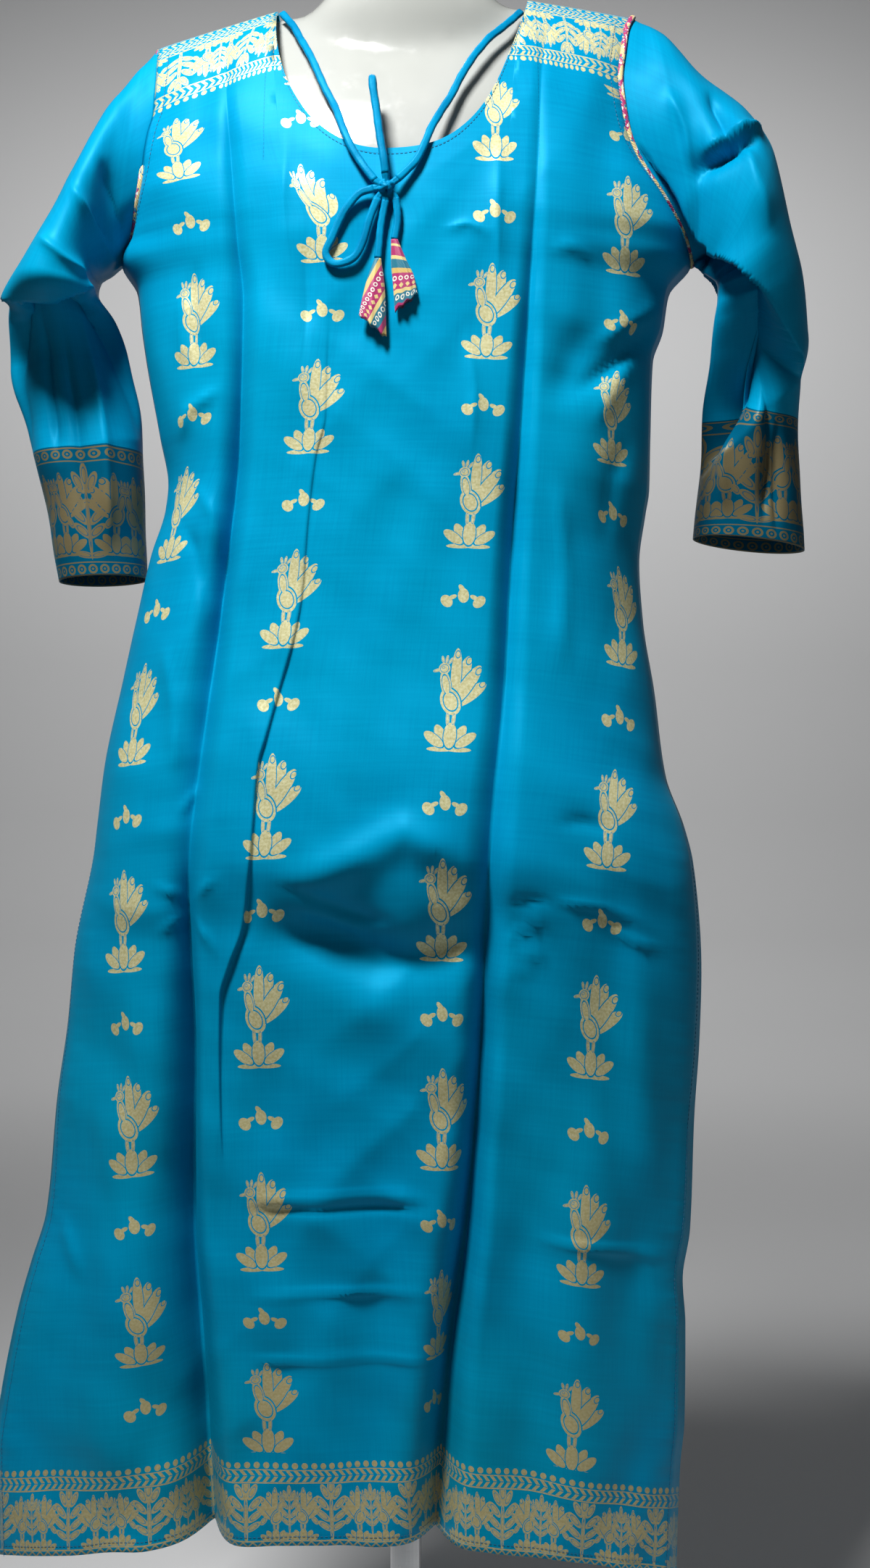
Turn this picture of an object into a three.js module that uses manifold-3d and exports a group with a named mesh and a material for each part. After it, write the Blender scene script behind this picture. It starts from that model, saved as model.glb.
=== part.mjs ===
// A long straight kurti with three-quarter sleeves, side slits and a knotted neck tie,
// worn on a limbless display form that stands on a pole and a round base.
// Millimetres, +Z up. The origin is the centre of the base's foot, on the floor.
// The side with the neck tie, read as the back, faces -Y; the wearer would face +Y.
import * as THREE from "three";
import { mergeVertices } from "three/addons/utils/BufferGeometryUtils.js";
import Module from "manifold-3d";

const wasm = await Module();
wasm.setup();

// ---------------------------------------------------------------- driving sizes
const CLOTH = 1.2; // wall of the cloth
const SEAM = 0.6; // the space between two cut edges that are sewn together
const SHOULDER_Z = 1488; // shoulder seam beside the neck
const UNDERARM_Z = 1284;
const SLIT_Z = 852; // top of the side slits
const HEM_Z = 287; // hem at the middle of a panel
const NECK_LEFT = -103; // where the neckline meets the shoulder seams
const NECK_RIGHT = 99;
const NECK_CURVE = 2.5; // how square the scoop of the neckline is
const SLEEVE_GAP = 2.2; // from the armhole edge to the sleeve, which lets the sleeve bend there
const PIPING_R = 1.5;
const CORD_R = 2.6;
const STRING_R = 2.4; // the two tie ends that carry the tassels
const CORD_SIDES = 8;
const REST_GAP = 0.35; // between two pieces that touch

// ---------------------------------------------------------------- tables
// Rows under named columns, read at any value of the first column by a monotone cubic.
function table(columns, rows) {
  const sorted = [...rows].sort((a, b) => a[0] - b[0]);
  const keys = sorted.map((row) => row[0]);
  const read = {};
  columns.slice(1).forEach((name, k) => {
    const values = sorted.map((row) => row[k + 1]);
    const step = keys.slice(1).map((key, i) => key - keys[i]);
    const slope = step.map((h, i) => (values[i + 1] - values[i]) / h);
    const tangent = keys.map((_, i) => {
      if (i === 0) return slope[0];
      if (i === slope.length) return slope[i - 1];
      if (slope[i - 1] * slope[i] <= 0) return 0;
      const a = 2 * step[i] + step[i - 1];
      const b = step[i] + 2 * step[i - 1];
      return (a + b) / (a / slope[i - 1] + b / slope[i]);
    });
    read[name] = (at) => {
      const x = Math.min(Math.max(at, keys[0]), keys[keys.length - 1]);
      let i = 0;
      while (i < slope.length - 1 && x > keys[i + 1]) i++;
      const h = step[i];
      const t = (x - keys[i]) / h;
      return (
        values[i] * (1 + 2 * t) * (1 - t) ** 2 +
        h * tangent[i] * t * (1 - t) ** 2 +
        values[i + 1] * t * t * (3 - 2 * t) +
        h * tangent[i + 1] * t * t * (t - 1)
      );
    };
  });
  return read;
}

const mix = (a, b, t) => a + (b - a) * t;
const smooth = (low, high, x) => {
  const t = Math.min(Math.max((x - low) / (high - low), 0), 1);
  return t * t * (3 - 2 * t);
};

// Where the cut edges of both panels lie: armholes, side seams, then the slits.
const OUTLINE = table(
  ["z", "left", "right"],
  [
    [1488, -199, 184],
    [1466, -198, 176],
    [1448, -197.5, 173],
    [1421, -198, 169.5],
    [1403, -202, 171],
    [1380, -205, 175],
    [1362, -206.5, 182],
    [1326, -212, 207],
    [1300, -219, 224],
    [1284, -230, 231],
    [1259, -217, 213],
    [1229, -213.5, 208],
    [1205, -210, 200],
    [1146, -199, 198],
    [1106, -192, 197],
    [1088, -194, 194],
    [1052, -206, 189],
    [1009, -216.5, 192],
    [958, -228.5, 201],
    [892, -243, 210.5],
    [852, -248, 225.5],
    [825, -251, 231.5],
    [747, -267, 236.5],
    [691, -272, 234.5],
    [632, -280, 230],
    [545, -287, 226],
    [507, -298, 220],
    [474, -307, 222],
    [400, -321, 221],
    [367, -325, 217.5],
    [232, -322, 212.5],
  ],
);

// How far each panel stands out from the side seams: at its middle and at its two edges.
const BACK_DEPTH = table(
  ["z", "middle", "left", "right"],
  [
    [1488, 0, 0, 0],
    [1484, 17, 9, 9],
    [1476, 31, 18, 18],
    [1458, 48, 30, 30],
    [1428, 68, 42, 42],
    [1386, 86, 48, 48],
    [1344, 97, 44, 44],
    [1303, 103, 22, 22],
    [1284, 104, 0, 0],
    [1170, 105, 0, 0],
    [1050, 103, 0, 0],
    [950, 110, 0, 0],
    [862, 127, 0, 0],
    [810, 131, 3, 12],
    [750, 118, 6, 20],
    [600, 108, 14, 28],
    [450, 106, 32, 34],
    [230, 104, 46, 40],
  ],
);
const FRONT_DEPTH = table(
  ["z", "middle", "left", "right"],
  [
    [1488, 0, 0, 0],
    [1484, 18, 9, 9],
    [1476, 33, 18, 18],
    [1458, 50, 30, 30],
    [1428, 69, 40, 40],
    [1386, 89, 46, 46],
    [1344, 106, 42, 42],
    [1303, 117, 21, 21],
    [1284, 119, 0, 0],
    [1170, 108, 0, 0],
    [1050, 94, 0, 0],
    [950, 104, 0, 0],
    [852, 116, 0, 0],
    [810, 118, 10, 4],
    [750, 116, 18, 8],
    [600, 119, 30, 20],
    [450, 125, 38, 34],
    [230, 132, 48, 46],
  ],
);

// The deep folds that hang from the shoulders: x of the bottom of each fold, its depth,
// and half its width on the outer side and on the side of the panel's middle.
const BACK_FOLD_LEFT = table(
  ["z", "x", "depth", "outer", "inner"],
  [
    [1488, -142, 0, 8, 8],
    [1412, -138, 2, 9, 9],
    [1360, -134, 5, 11, 11],
    [1277, -128, 10, 14, 14],
    [1236, -124, 13, 16, 15],
    [1128, -128, 22, 18, 17],
    [1009, -141, 28, 22, 18],
    [900, -154, 22, 26, 20],
    [817, -163, 20, 28, 20],
    [774, -165, 28, 28, 15],
    [664, -163, 46, 34, 13],
    [540, -165, 56, 42, 19],
    [400, -156, 60, 46, 26],
    [230, -147, 64, 50, 32],
  ],
);
const BACK_FOLD_RIGHT = table(
  ["z", "x", "depth", "inner", "outer"],
  [
    [1488, 120, 0, 7, 7],
    [1410, 106, 1.5, 8, 8],
    [1338, 102, 3, 10, 10],
    [1257, 97, 7, 12, 12],
    [1135, 89, 16, 15, 15],
    [1040, 82, 20, 16, 16],
    [932, 76, 17, 18, 18],
    [853, 68, 14, 20, 20],
    [796, 64, 18, 22, 20],
    [666, 59, 32, 26, 20],
    [537, 49, 42, 30, 22],
    [430, 35, 48, 34, 26],
    [230, 20, 52, 40, 34],
  ],
);
const FRONT_FOLD_LEFT = table(
  ["z", "x", "depth", "outer", "inner"],
  [
    [1488, -124, 0, 7, 7],
    [1400, -120, 3, 9, 9],
    [1330, -116, 12, 12, 12],
    [1240, -114, 24, 15, 15],
    [1040, -106, 27, 19, 19],
    [906, -100, 18, 24, 24],
    [775, -90, 20, 30, 30],
    [600, -84, 36, 44, 40],
    [400, -78, 52, 56, 56],
    [230, -70, 64, 62, 62],
  ],
);
const FRONT_FOLD_RIGHT = table(
  ["z", "x", "depth", "inner", "outer"],
  [
    [1488, 132, 0, 7, 7],
    [1400, 129, 3, 9, 9],
    [1330, 124, 13, 12, 12],
    [1240, 119, 25, 15, 15],
    [1040, 116, 28, 20, 20],
    [906, 120, 20, 24, 24],
    [775, 122, 24, 30, 30],
    [600, 122, 38, 42, 42],
    [400, 118, 54, 56, 56],
    [230, 114, 66, 62, 62],
  ],
);

// The pressed crease that runs beside the left fold: x only, for the columns to follow.
const BACK_CREASE = table(
  ["z", "x"],
  [
    [1226, -56],
    [1140, -58],
    [1065, -71],
    [973, -83],
    [880, -106],
    [786, -116],
    [728, -132],
    [667, -138],
    [560, -118],
    [430, -88],
    [230, -66],
  ],
);
const FRONT_CREASE = table(
  ["z", "x"],
  [
    [1200, -30],
    [800, -14],
    [230, 8],
  ],
);

// The two sides of the garment.
const BACK = {
  toward: -1,
  depth: BACK_DEPTH,
  leftFold: BACK_FOLD_LEFT,
  rightFold: BACK_FOLD_RIGHT,
  crease: BACK_CREASE,
  neckDepth: 142,
};
const FRONT = {
  toward: 1,
  depth: FRONT_DEPTH,
  leftFold: FRONT_FOLD_LEFT,
  rightFold: FRONT_FOLD_RIGHT,
  crease: FRONT_CREASE,
  neckDepth: 150,
};

// How full a panel's section is: nearer 2 on the body, flatter below the slits.
const fullness = (z) => mix(1.35, 2, smooth(500, 900, z) - 0.6 * smooth(1280, 1360, z));

// How square its section is at the sides: more so below the underarm.
const squareness = (z) => mix(2.8, 2.2, smooth(1150, 1284, z));

// The height of the shoulder seam at x: the right shoulder sits higher and slopes less.
function shoulderZ(x) {
  const beside = mix(1487, 1496, smooth(NECK_LEFT, NECK_RIGHT, x));
  return beside - 0.29 * Math.max(0, NECK_LEFT - x) - 0.15 * Math.max(0, x - NECK_RIGHT);
}
const shoulderLift = (x, z) => smooth(UNDERARM_Z, 1430, z) * (shoulderZ(x) - SHOULDER_Z);

// ---------------------------------------------------------------- a panel's middle surface
// y of the plain section at x, before its folds.
function plainDepth(side, x, z) {
  const left = OUTLINE.left(z);
  const right = OUTLINE.right(z);
  const across = Math.min(Math.max((2 * x - left - right) / (right - left), -1), 1);
  const edge = mix(side.depth.left(z), side.depth.right(z), (across + 1) / 2);
  const round = (1 - Math.abs(across) ** squareness(z)) ** (1 / fullness(z));
  return edge + (side.depth.middle(z) - edge) * round;
}

// A point of the cloth's middle surface. The sides hang lower than the middle.
function clothPoint(side, x, z, fold) {
  const left = OUTLINE.left(z);
  const right = OUTLINE.right(z);
  const across = (2 * x - left - right) / (right - left);
  const hang = (SHOULDER_Z - z) / (SHOULDER_Z - HEM_Z);
  const drop = (across < 0 ? 30 : 46) * Math.abs(across) ** 2.2 * hang * smooth(1250, 900, z);
  const y = side.toward * (SEAM / 2 + plainDepth(side, x, z) - fold);
  return new THREE.Vector3(x, y, z + shoulderLift(x, z) - drop);
}

const COLUMNS = { side: 4, flank: 2, yoke: 1, creaseLeft: 4, creaseRight: 6 };
// Where along the neckline the columns start, closer together on its steep ends.
const NECK_SHARES = [0, 0.045, 0.11, 0.2, 0.34, 0.5, 0.66, 0.8, 0.89, 0.955, 1];
const ROWS_ABOVE = [SHOULDER_Z, 1484, 1474, 1454, 1423, 1383, 1345, 1317, 1298, UNDERARM_Z];
const ROWS_MIDDLE = [1259, 1215, 1160, 1106, 1050, 990, 925, SLIT_Z];
const ROWS_BELOW = [815, 765, 700, 620, 530, 430, 350, HEM_Z];

// The columns of a panel at height z, as {x, fold}. Between the folds they follow the neckline
// above the underarm and the pressed crease below it.
function columnsAt(side, z) {
  const { leftFold, rightFold, crease } = side;
  const made = [];
  const add = (from, to, count, foldOf, last = false) => {
    for (let i = 0; i < count + (last ? 1 : 0); i++)
      made.push({ x: mix(from, to, i / count), fold: foldOf(i / count) });
  };
  const a = leftFold.x(z);
  const aLeft = a - leftFold.outer(z);
  const aRight = a + leftFold.inner(z);
  const b = rightFold.x(z);
  const bLeft = b - rightFold.inner(z);
  const bRight = b + rightFold.outer(z);
  const flat = () => 0;
  add(OUTLINE.left(z), aLeft, COLUMNS.side, flat);
  add(aLeft, a, COLUMNS.flank, (t) => leftFold.depth(z) * t * t);
  add(a, aRight, COLUMNS.flank, (t) => leftFold.depth(z) * (1 - t) ** 2);
  const topLeft = leftFold.x(SHOULDER_Z) + leftFold.inner(SHOULDER_Z);
  const topRight = rightFold.x(SHOULDER_Z) - rightFold.inner(SHOULDER_Z);
  const shares = [0];
  for (const share of NECK_SHARES) shares.push((neckX(share) - topLeft) / (topRight - topLeft));
  const before = COLUMNS.yoke + COLUMNS.creaseLeft;
  const after = shares.length - before;
  const c = (crease.x(z) - aRight) / (bLeft - aRight);
  shares.forEach((top, i) => {
    const low = i <= before ? mix(0, c, i / before) : mix(c, 1, (i - before) / after);
    const share = mix(low, top, smooth(1180, 1300, z));
    made.push({ x: mix(aRight, bLeft, share), fold: 0 });
  });
  add(bLeft, b, COLUMNS.flank, (t) => rightFold.depth(z) * t * t);
  add(b, bRight, COLUMNS.flank, (t) => rightFold.depth(z) * (1 - t) ** 2);
  add(bRight, OUTLINE.right(z), COLUMNS.side, flat, true);
  return made;
}

// The neckline is a squared half-oval: share 0 is its left end, 1 its right end.
function neckX(share) {
  const angle = Math.PI * (1 - share);
  const across = Math.sign(Math.cos(angle)) * Math.abs(Math.cos(angle)) ** (2 / NECK_CURVE);
  return mix(NECK_LEFT, NECK_RIGHT, (across + 1) / 2);
}
const neckDrop = (share, depth) => depth * Math.sin(Math.PI * share) ** (2 / NECK_CURVE);

// Rows of points over the whole panel. Neck columns start at the neckline, not at the shoulder.
function panelGrid(side) {
  const firstNeck = COLUMNS.side + 2 * COLUMNS.flank + COLUMNS.yoke;
  return [...ROWS_ABOVE, ...ROWS_MIDDLE, ...ROWS_BELOW].map((z) => {
    const count = columnsAt(side, z).length;
    return Array.from({ length: count }, (_, j) => {
      const share = NECK_SHARES[j - firstNeck] ?? 0;
      const inNeck = share > 0 && share < 1;
      const top = SHOULDER_Z - (inNeck ? neckDrop(share, side.neckDepth) : 0);
      const down = (z - UNDERARM_Z) / (SHOULDER_Z - UNDERARM_Z);
      const height = down > 0 ? mix(UNDERARM_Z, top, down) : z;
      const { x, fold } = columnsAt(side, height)[j];
      return clothPoint(side, x, height, fold);
    });
  });
}

// ---------------------------------------------------------------- walls from grids of points
function gridNormals(grid, closed) {
  return grid.map((row, i) =>
    row.map((_, j) => {
      const n = row.length;
      const left = row[closed ? (j - 1 + n) % n : Math.max(j - 1, 0)];
      const right = row[closed ? (j + 1) % n : Math.min(j + 1, n - 1)];
      const up = grid[Math.max(i - 1, 0)][j];
      const down = grid[Math.min(i + 1, grid.length - 1)][j];
      const across = new THREE.Vector3().subVectors(right, left);
      const along = new THREE.Vector3().subVectors(down, up);
      return new THREE.Vector3().crossVectors(across, along).normalize();
    }),
  );
}

function solidMesh(name, material, points, faces) {
  const geometry = new THREE.BufferGeometry();
  const flat = new Float32Array(points.flatMap((p) => [p.x, p.y, p.z]));
  geometry.setAttribute("position", new THREE.BufferAttribute(flat, 3));
  geometry.setIndex(faces.flat());
  const solid = manifoldOf(geometry);
  if (solid.volume() < 0) geometry.setIndex(faces.map(([a, b, c]) => [a, c, b]).flat());
  geometry.computeVertexNormals();
  return namedMesh(name, geometry, material);
}

// A wall of the cloth's thickness about a grid of points. A closed grid is a tube.
function clothWall(name, material, grid, closed = false) {
  const normals = gridNormals(grid, closed);
  const rows = grid.length;
  const columns = grid[0].length;
  const points = [];
  for (const side of [1, -1])
    grid.forEach((row, i) =>
      row.forEach((p, j) => points.push(p.clone().addScaledVector(normals[i][j], (side * CLOTH) / 2))),
    );
  const id = (layer, i, j) => layer * rows * columns + i * columns + (j % columns);
  const faces = [];
  const quad = (a, b, c, d) => faces.push([a, b, c], [a, c, d]);
  const across = closed ? columns : columns - 1;
  for (let i = 0; i < rows - 1; i++)
    for (let j = 0; j < across; j++) {
      quad(id(0, i, j), id(0, i + 1, j), id(0, i + 1, j + 1), id(0, i, j + 1));
      quad(id(1, i, j), id(1, i, j + 1), id(1, i + 1, j + 1), id(1, i + 1, j));
    }
  for (let j = 0; j < across; j++) {
    quad(id(0, 0, j), id(0, 0, j + 1), id(1, 0, j + 1), id(1, 0, j));
    quad(id(0, rows - 1, j + 1), id(0, rows - 1, j), id(1, rows - 1, j), id(1, rows - 1, j + 1));
  }
  for (let i = 0; i < rows - 1 && !closed; i++) {
    const last = columns - 1;
    quad(id(0, i + 1, 0), id(0, i, 0), id(1, i, 0), id(1, i + 1, 0));
    quad(id(0, i, last), id(0, i + 1, last), id(1, i + 1, last), id(1, i, last));
  }
  return solidMesh(name, material, points, faces);
}

function manifoldOf(geometry) {
  const bare = geometry.clone();
  for (const attribute of ["normal", "uv"]) bare.deleteAttribute(attribute);
  const merged = mergeVertices(bare, 1e-3);
  return new wasm.Manifold(
    new wasm.Mesh({
      numProp: 3,
      vertProperties: merged.attributes.position.array,
      triVerts: new Uint32Array(merged.index.array),
    }),
  );
}

function geometryOf(solid) {
  const mesh = solid.getMesh();
  const geometry = new THREE.BufferGeometry();
  geometry.setAttribute("position", new THREE.BufferAttribute(new Float32Array(mesh.vertProperties), 3));
  geometry.setIndex(new THREE.BufferAttribute(mesh.triVerts, 1));
  geometry.computeVertexNormals();
  return geometry;
}

function namedMesh(name, geometry, material) {
  const mesh = new THREE.Mesh(geometry, material);
  mesh.name = name;
  return mesh;
}

// ---------------------------------------------------------------- finishes
const silk = new THREE.MeshStandardMaterial({ color: 0x0086b8, roughness: 0.42, metalness: 0 });
const sleeveSilk = new THREE.MeshStandardMaterial({ color: 0x007aad, roughness: 0.42, metalness: 0 });
const stripedSilk = new THREE.MeshStandardMaterial({ color: 0xb08a4a, roughness: 0.5, metalness: 0.2 });
const glossShell = new THREE.MeshStandardMaterial({ color: 0xe6e4de, roughness: 0.25, metalness: 0 });
const steel = new THREE.MeshStandardMaterial({ color: 0xb8babd, roughness: 0.3, metalness: 1 });
const paintedBase = new THREE.MeshStandardMaterial({ color: 0xd9d8d4, roughness: 0.4, metalness: 0.1 });

const kurti = new THREE.Group();
kurti.name = "kurti_on_form";

// ---------------------------------------------------------------- panels
kurti.add(clothWall("back_panel", silk, panelGrid(BACK)));
kurti.add(clothWall("front_panel", silk, panelGrid(FRONT)));

// ---------------------------------------------------------------- sleeves
// Each station of a sleeve is an oval between its outer point and its inner point, seen from
// behind, with the middle of its depth and half its depth.
const SLEEVE_COLUMNS = ["outerX", "outerZ", "innerX", "innerZ", "middleY", "halfDepth"];
const SLEEVE_RIGHT = [
  [205, 1468, 242, 1277, -3, 54],
  [238, 1430, 247, 1271, -10, 60],
  [270, 1400, 250, 1266, -16, 62],
  [292, 1364, 251, 1260, -20, 62],
  [303, 1315, 251, 1250, -20, 61],
  [315, 1268, 250, 1236, -14, 57],
  [320, 1225, 249, 1211, 4, 52],
  [323.5, 1170, 245, 1170, 34, 46],
  [328.5, 1124, 244, 1117, 50, 44],
  [334, 1059, 241, 1070, 60, 43],
];
const SLEEVE_LEFT = [
  [-218, 1431, -239, 1277, -3, 54],
  [-240, 1396, -246, 1271, -10, 60],
  [-262, 1352, -249, 1267, -16, 62],
  [-286, 1302, -249, 1260, -20, 62],
  [-308, 1264, -245, 1251, -20, 61],
  [-323, 1236, -237, 1240, 2, 48],
  [-325, 1204, -228, 1212, 20, 43],
  [-311, 1152, -219, 1156, 25, 43],
  [-297, 1095, -216, 1091, 26, 44],
  [-285, 1029, -214.5, 1032, 27, 43],
];
const HALF_RING = ROWS_ABOVE.length - 1; // points from the shoulder to the underarm, on each side

// The cut edge of both panels at one armhole, from the shoulder tip round the back to the
// underarm and up the front, with the way out of the cloth at each point.
const panels = { back: panelGrid(BACK), front: panelGrid(FRONT) };
const panelNormals = { back: gridNormals(panels.back), front: gridNormals(panels.front) };

function armhole(edge) {
  const at = (name, i) => {
    const column = edge === "left" ? 0 : panels[name][0].length - 1;
    const normal = panelNormals[name][i][column].clone();
    if (normal.y * (name === "back" ? -1 : 1) < 0) normal.negate();
    return { point: panels[name][i][column].clone(), normal };
  };
  const meet = (i) => {
    const back = at("back", i);
    const front = at("front", i);
    back.point.lerp(front.point, 0.5);
    back.normal.add(front.normal).normalize();
    return back;
  };
  const between = Array.from({ length: HALF_RING - 1 }, (_, k) => k + 1);
  const down = between.map((i) => at("back", i));
  const up = between.map((i) => at("front", i)).reverse();
  return [meet(0), ...down, meet(HALF_RING), ...up];
}

// The direction that leads from each armhole point out along the sleeve, square to the edge.
function awayFrom(hole, targets) {
  const count = hole.length;
  return hole.map((p, k) => {
    const next = hole[(k + 1) % count];
    const before = hole[(k + count - 1) % count];
    const tangent = new THREE.Vector3().subVectors(next, before).normalize();
    const away = new THREE.Vector3().subVectors(targets[k], p);
    return away.addScaledVector(tangent, -away.dot(tangent)).normalize();
  });
}

function sleeveGrid(edge, stations) {
  const ringOf = (row) => {
    const s = Object.fromEntries(SLEEVE_COLUMNS.map((name, k) => [name, row[k]]));
    return Array.from({ length: 2 * HALF_RING }, (_, k) => {
      const angle = (Math.PI * k) / HALF_RING;
      const share = (1 - Math.cos(angle)) / 2;
      return new THREE.Vector3(
        mix(s.outerX, s.innerX, share),
        s.middleY - s.halfDepth * Math.sin(angle),
        mix(s.outerZ, s.innerZ, share),
      );
    });
  };
  const rings = stations.map(ringOf);
  const hole = armhole(edge).map((corner) => corner.point);
  const away = awayFrom(hole, rings[0]);
  const seam = hole.map((p, k) => p.clone().addScaledVector(away[k], SLEEVE_GAP));
  return [seam, ...rings];
}

const sleeves = { left: sleeveGrid("left", SLEEVE_LEFT), right: sleeveGrid("right", SLEEVE_RIGHT) };
kurti.add(clothWall("sleeve_left", sleeveSilk, sleeves.left, true));
kurti.add(clothWall("sleeve_right", sleeveSilk, sleeves.right, true));

// ---------------------------------------------------------------- piping round the armholes
// It keeps the same distance from the panel and from the sleeve, in the angle between them.
function pipingRoute(edge, grid) {
  const hole = armhole(edge);
  const middle = new THREE.Vector3();
  for (const corner of hole) middle.addScaledVector(corner.point, 1 / hole.length);
  const clear = PIPING_R + CLOTH / 2 + REST_GAP + 0.25;
  const sleeveNormals = gridNormals(grid, true)[0];
  const route = hole.map(({ point, normal }, k) => {
    const radial = point.clone().sub(middle);
    const other = sleeveNormals[k].clone();
    if (other.dot(radial) < 0) other.negate();
    const corner = Math.max(0, 2 - Math.abs(k - HALF_RING));
    const reach = (clear + 1.6 * corner) / Math.max(1 + normal.dot(other), 0.55);
    return point.clone().add(normal.clone().add(other).multiplyScalar(reach));
  });
  const low = route[HALF_RING];
  const start = low.clone().lerp(route[HALF_RING - 1], 0.06);
  const end = low.clone().lerp(route[HALF_RING + 1], 0.06);
  const up = route.slice(HALF_RING + 1);
  return [start, ...route.slice(0, HALF_RING).reverse(), ...up.reverse(), end];
}

function tube(name, material, points, radius, steps, sides = CORD_SIDES) {
  const shape = new THREE.Shape();
  for (let i = 0; i < sides; i++) {
    const angle = (2 * Math.PI * i) / sides;
    const x = radius * Math.cos(angle);
    const y = radius * Math.sin(angle);
    if (i === 0) shape.moveTo(x, y);
    else shape.lineTo(x, y);
  }
  shape.closePath();
  const path = new THREE.CatmullRomCurve3(points, false, "centripetal");
  const drawn = new THREE.ExtrudeGeometry(shape, { steps, bevelEnabled: false, extrudePath: path });
  return namedMesh(name, geometryOf(manifoldOf(drawn)), material);
}

kurti.add(
  tube("armhole_piping_left", stripedSilk, pipingRoute("left", sleeves.left), PIPING_R, 40, 6),
  tube("armhole_piping_right", stripedSilk, pipingRoute("right", sleeves.right), PIPING_R, 40, 6),
);

// ---------------------------------------------------------------- neck tie
const routeOf = (rows) => rows.map(([x, y, z]) => new THREE.Vector3(x, y, z));
const KNOT = { x: -13, y: -109.6, z: 1313, wide: 9, deep: 6 };
const TIE_LEFT = [
  [-98.5, -20, 1480],
  [-93.3, -26.5, 1472],
  [-88, -35.5, 1463],
  [-82.7, -44, 1451],
  [-77.6, -52, 1440.5],
  [-72.5, -59.5, 1429],
  [-66.4, -67.5, 1413.5],
  [-61, -73.8, 1400],
  [-54.5, -81, 1386],
  [-51.2, -87.5, 1377.5],
  [-47.3, -95.5, 1364.5],
  [-43.2, -100.8, 1353.5],
  [-38.8, -103.4, 1343.8],
  [-34.1, -105, 1336],
  [-29, -107.4, 1328],
  [-21.6, -109.5, 1318.2],
];
const TIE_RIGHT = [
  [91.6, -30.5, 1477],
  [86, -40, 1468.5],
  [79.5, -47, 1460.5],
  [73, -52, 1453.5],
  [66, -57.6, 1446],
  [59.7, -62.6, 1437],
  [53.4, -67.5, 1427.5],
  [44.3, -74, 1411],
  [39.8, -77.5, 1401],
  [35.3, -81.5, 1391],
  [30.3, -86, 1382],
  [24.7, -91.5, 1371],
  [20.3, -96.5, 1361.5],
  [15.5, -101.5, 1348],
  [8.8, -105.4, 1334],
  [-4.8, -109.5, 1319.2],
];
const BOW_LEFT = [
  [-22.6, -108.6, 1312.5],
  [-34, -108, 1308.5],
  [-45, -107, 1295],
  [-54, -106.5, 1276],
  [-59, -106.2, 1264],
  [-52, -107, 1256],
  [-38, -108.4, 1260],
  [-31, -109, 1272],
  [-26, -109, 1289],
  [-19.6, -108.6, 1305.2],
];
const BOW_UP = [
  [-13.5, -104.9, 1322.6],
  [-14.5, -104.2, 1332],
  [-17, -101.6, 1350],
  [-20, -94, 1372],
  [-22.5, -89, 1388],
  [-23.5, -89.5, 1396],
  [-24, -94, 1400.5],
  [-24, -99.5, 1399],
  [-23.5, -102, 1391],
  [-21.5, -104, 1378],
  [-18, -108.5, 1352],
  [-15, -111.8, 1334],
  [-13.8, -112, 1322.9],
];
const STRING_LEFT = [
  [-13.6, -108.6, 1303.2],
  [-15.5, -108.8, 1294],
  [-17.5, -109.2, 1282],
  [-18.5, -109.8, 1270],
  [-19.5, -110.3, 1259.5],
];
const STRING_RIGHT = [
  [-6.2, -108.6, 1305.2],
  [-5, -108.9, 1297],
  [-4.8, -109.4, 1287],
  [-6.9, -110.2, 1273.8],
];
kurti.add(
  tube("tie_left", silk, routeOf(TIE_LEFT), CORD_R, 16),
  tube("tie_right", silk, routeOf(TIE_RIGHT), CORD_R, 16),
  tube("bow_loop_left", silk, routeOf(BOW_LEFT), CORD_R, 16),
  tube("bow_loop_up", silk, routeOf(BOW_UP), CORD_R, 22),
  tube("tassel_string_left", silk, routeOf(STRING_LEFT), STRING_R, 5),
  tube("tassel_string_right", silk, routeOf(STRING_RIGHT), STRING_R, 4),
);

const knot = new THREE.SphereGeometry(1, 16, 10);
knot.scale(KNOT.wide, KNOT.deep, KNOT.wide).translate(KNOT.x, KNOT.y, KNOT.z);
kurti.add(namedMesh("tie_knot", geometryOf(manifoldOf(knot)), silk));

// A flat cone of layered cloth between a left edge and a right edge.
function tassel(name, rows, y, halfDepth) {
  const sides = 12;
  const grid = rows.map(([leftX, leftZ, rightX, rightZ, depth]) =>
    Array.from({ length: sides }, (_, k) => {
      const angle = (2 * Math.PI * k) / sides;
      const share = (1 - Math.cos(angle)) / 2;
      const out = halfDepth * depth * Math.sin(angle);
      return new THREE.Vector3(mix(leftX, rightX, share), y - out, mix(leftZ, rightZ, share));
    }),
  );
  return closedSolid(name, stripedSilk, grid);
}

// A solid skinned over closed rings, with a flat fan at each end.
function closedSolid(name, material, grid) {
  const columns = grid[0].length;
  const points = grid.flat();
  const faces = [];
  const id = (i, j) => i * columns + (j % columns);
  for (let i = 0; i < grid.length - 1; i++)
    for (let j = 0; j < columns; j++) {
      faces.push([id(i, j), id(i + 1, j), id(i + 1, j + 1)], [id(i, j), id(i + 1, j + 1), id(i, j + 1)]);
    }
  for (let j = 1; j < columns - 1; j++) {
    faces.push([id(0, 0), id(0, j), id(0, j + 1)]);
    const last = grid.length - 1;
    faces.push([id(last, 0), id(last, j + 1), id(last, j)]);
  }
  return solidMesh(name, material, points, faces);
}

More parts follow.
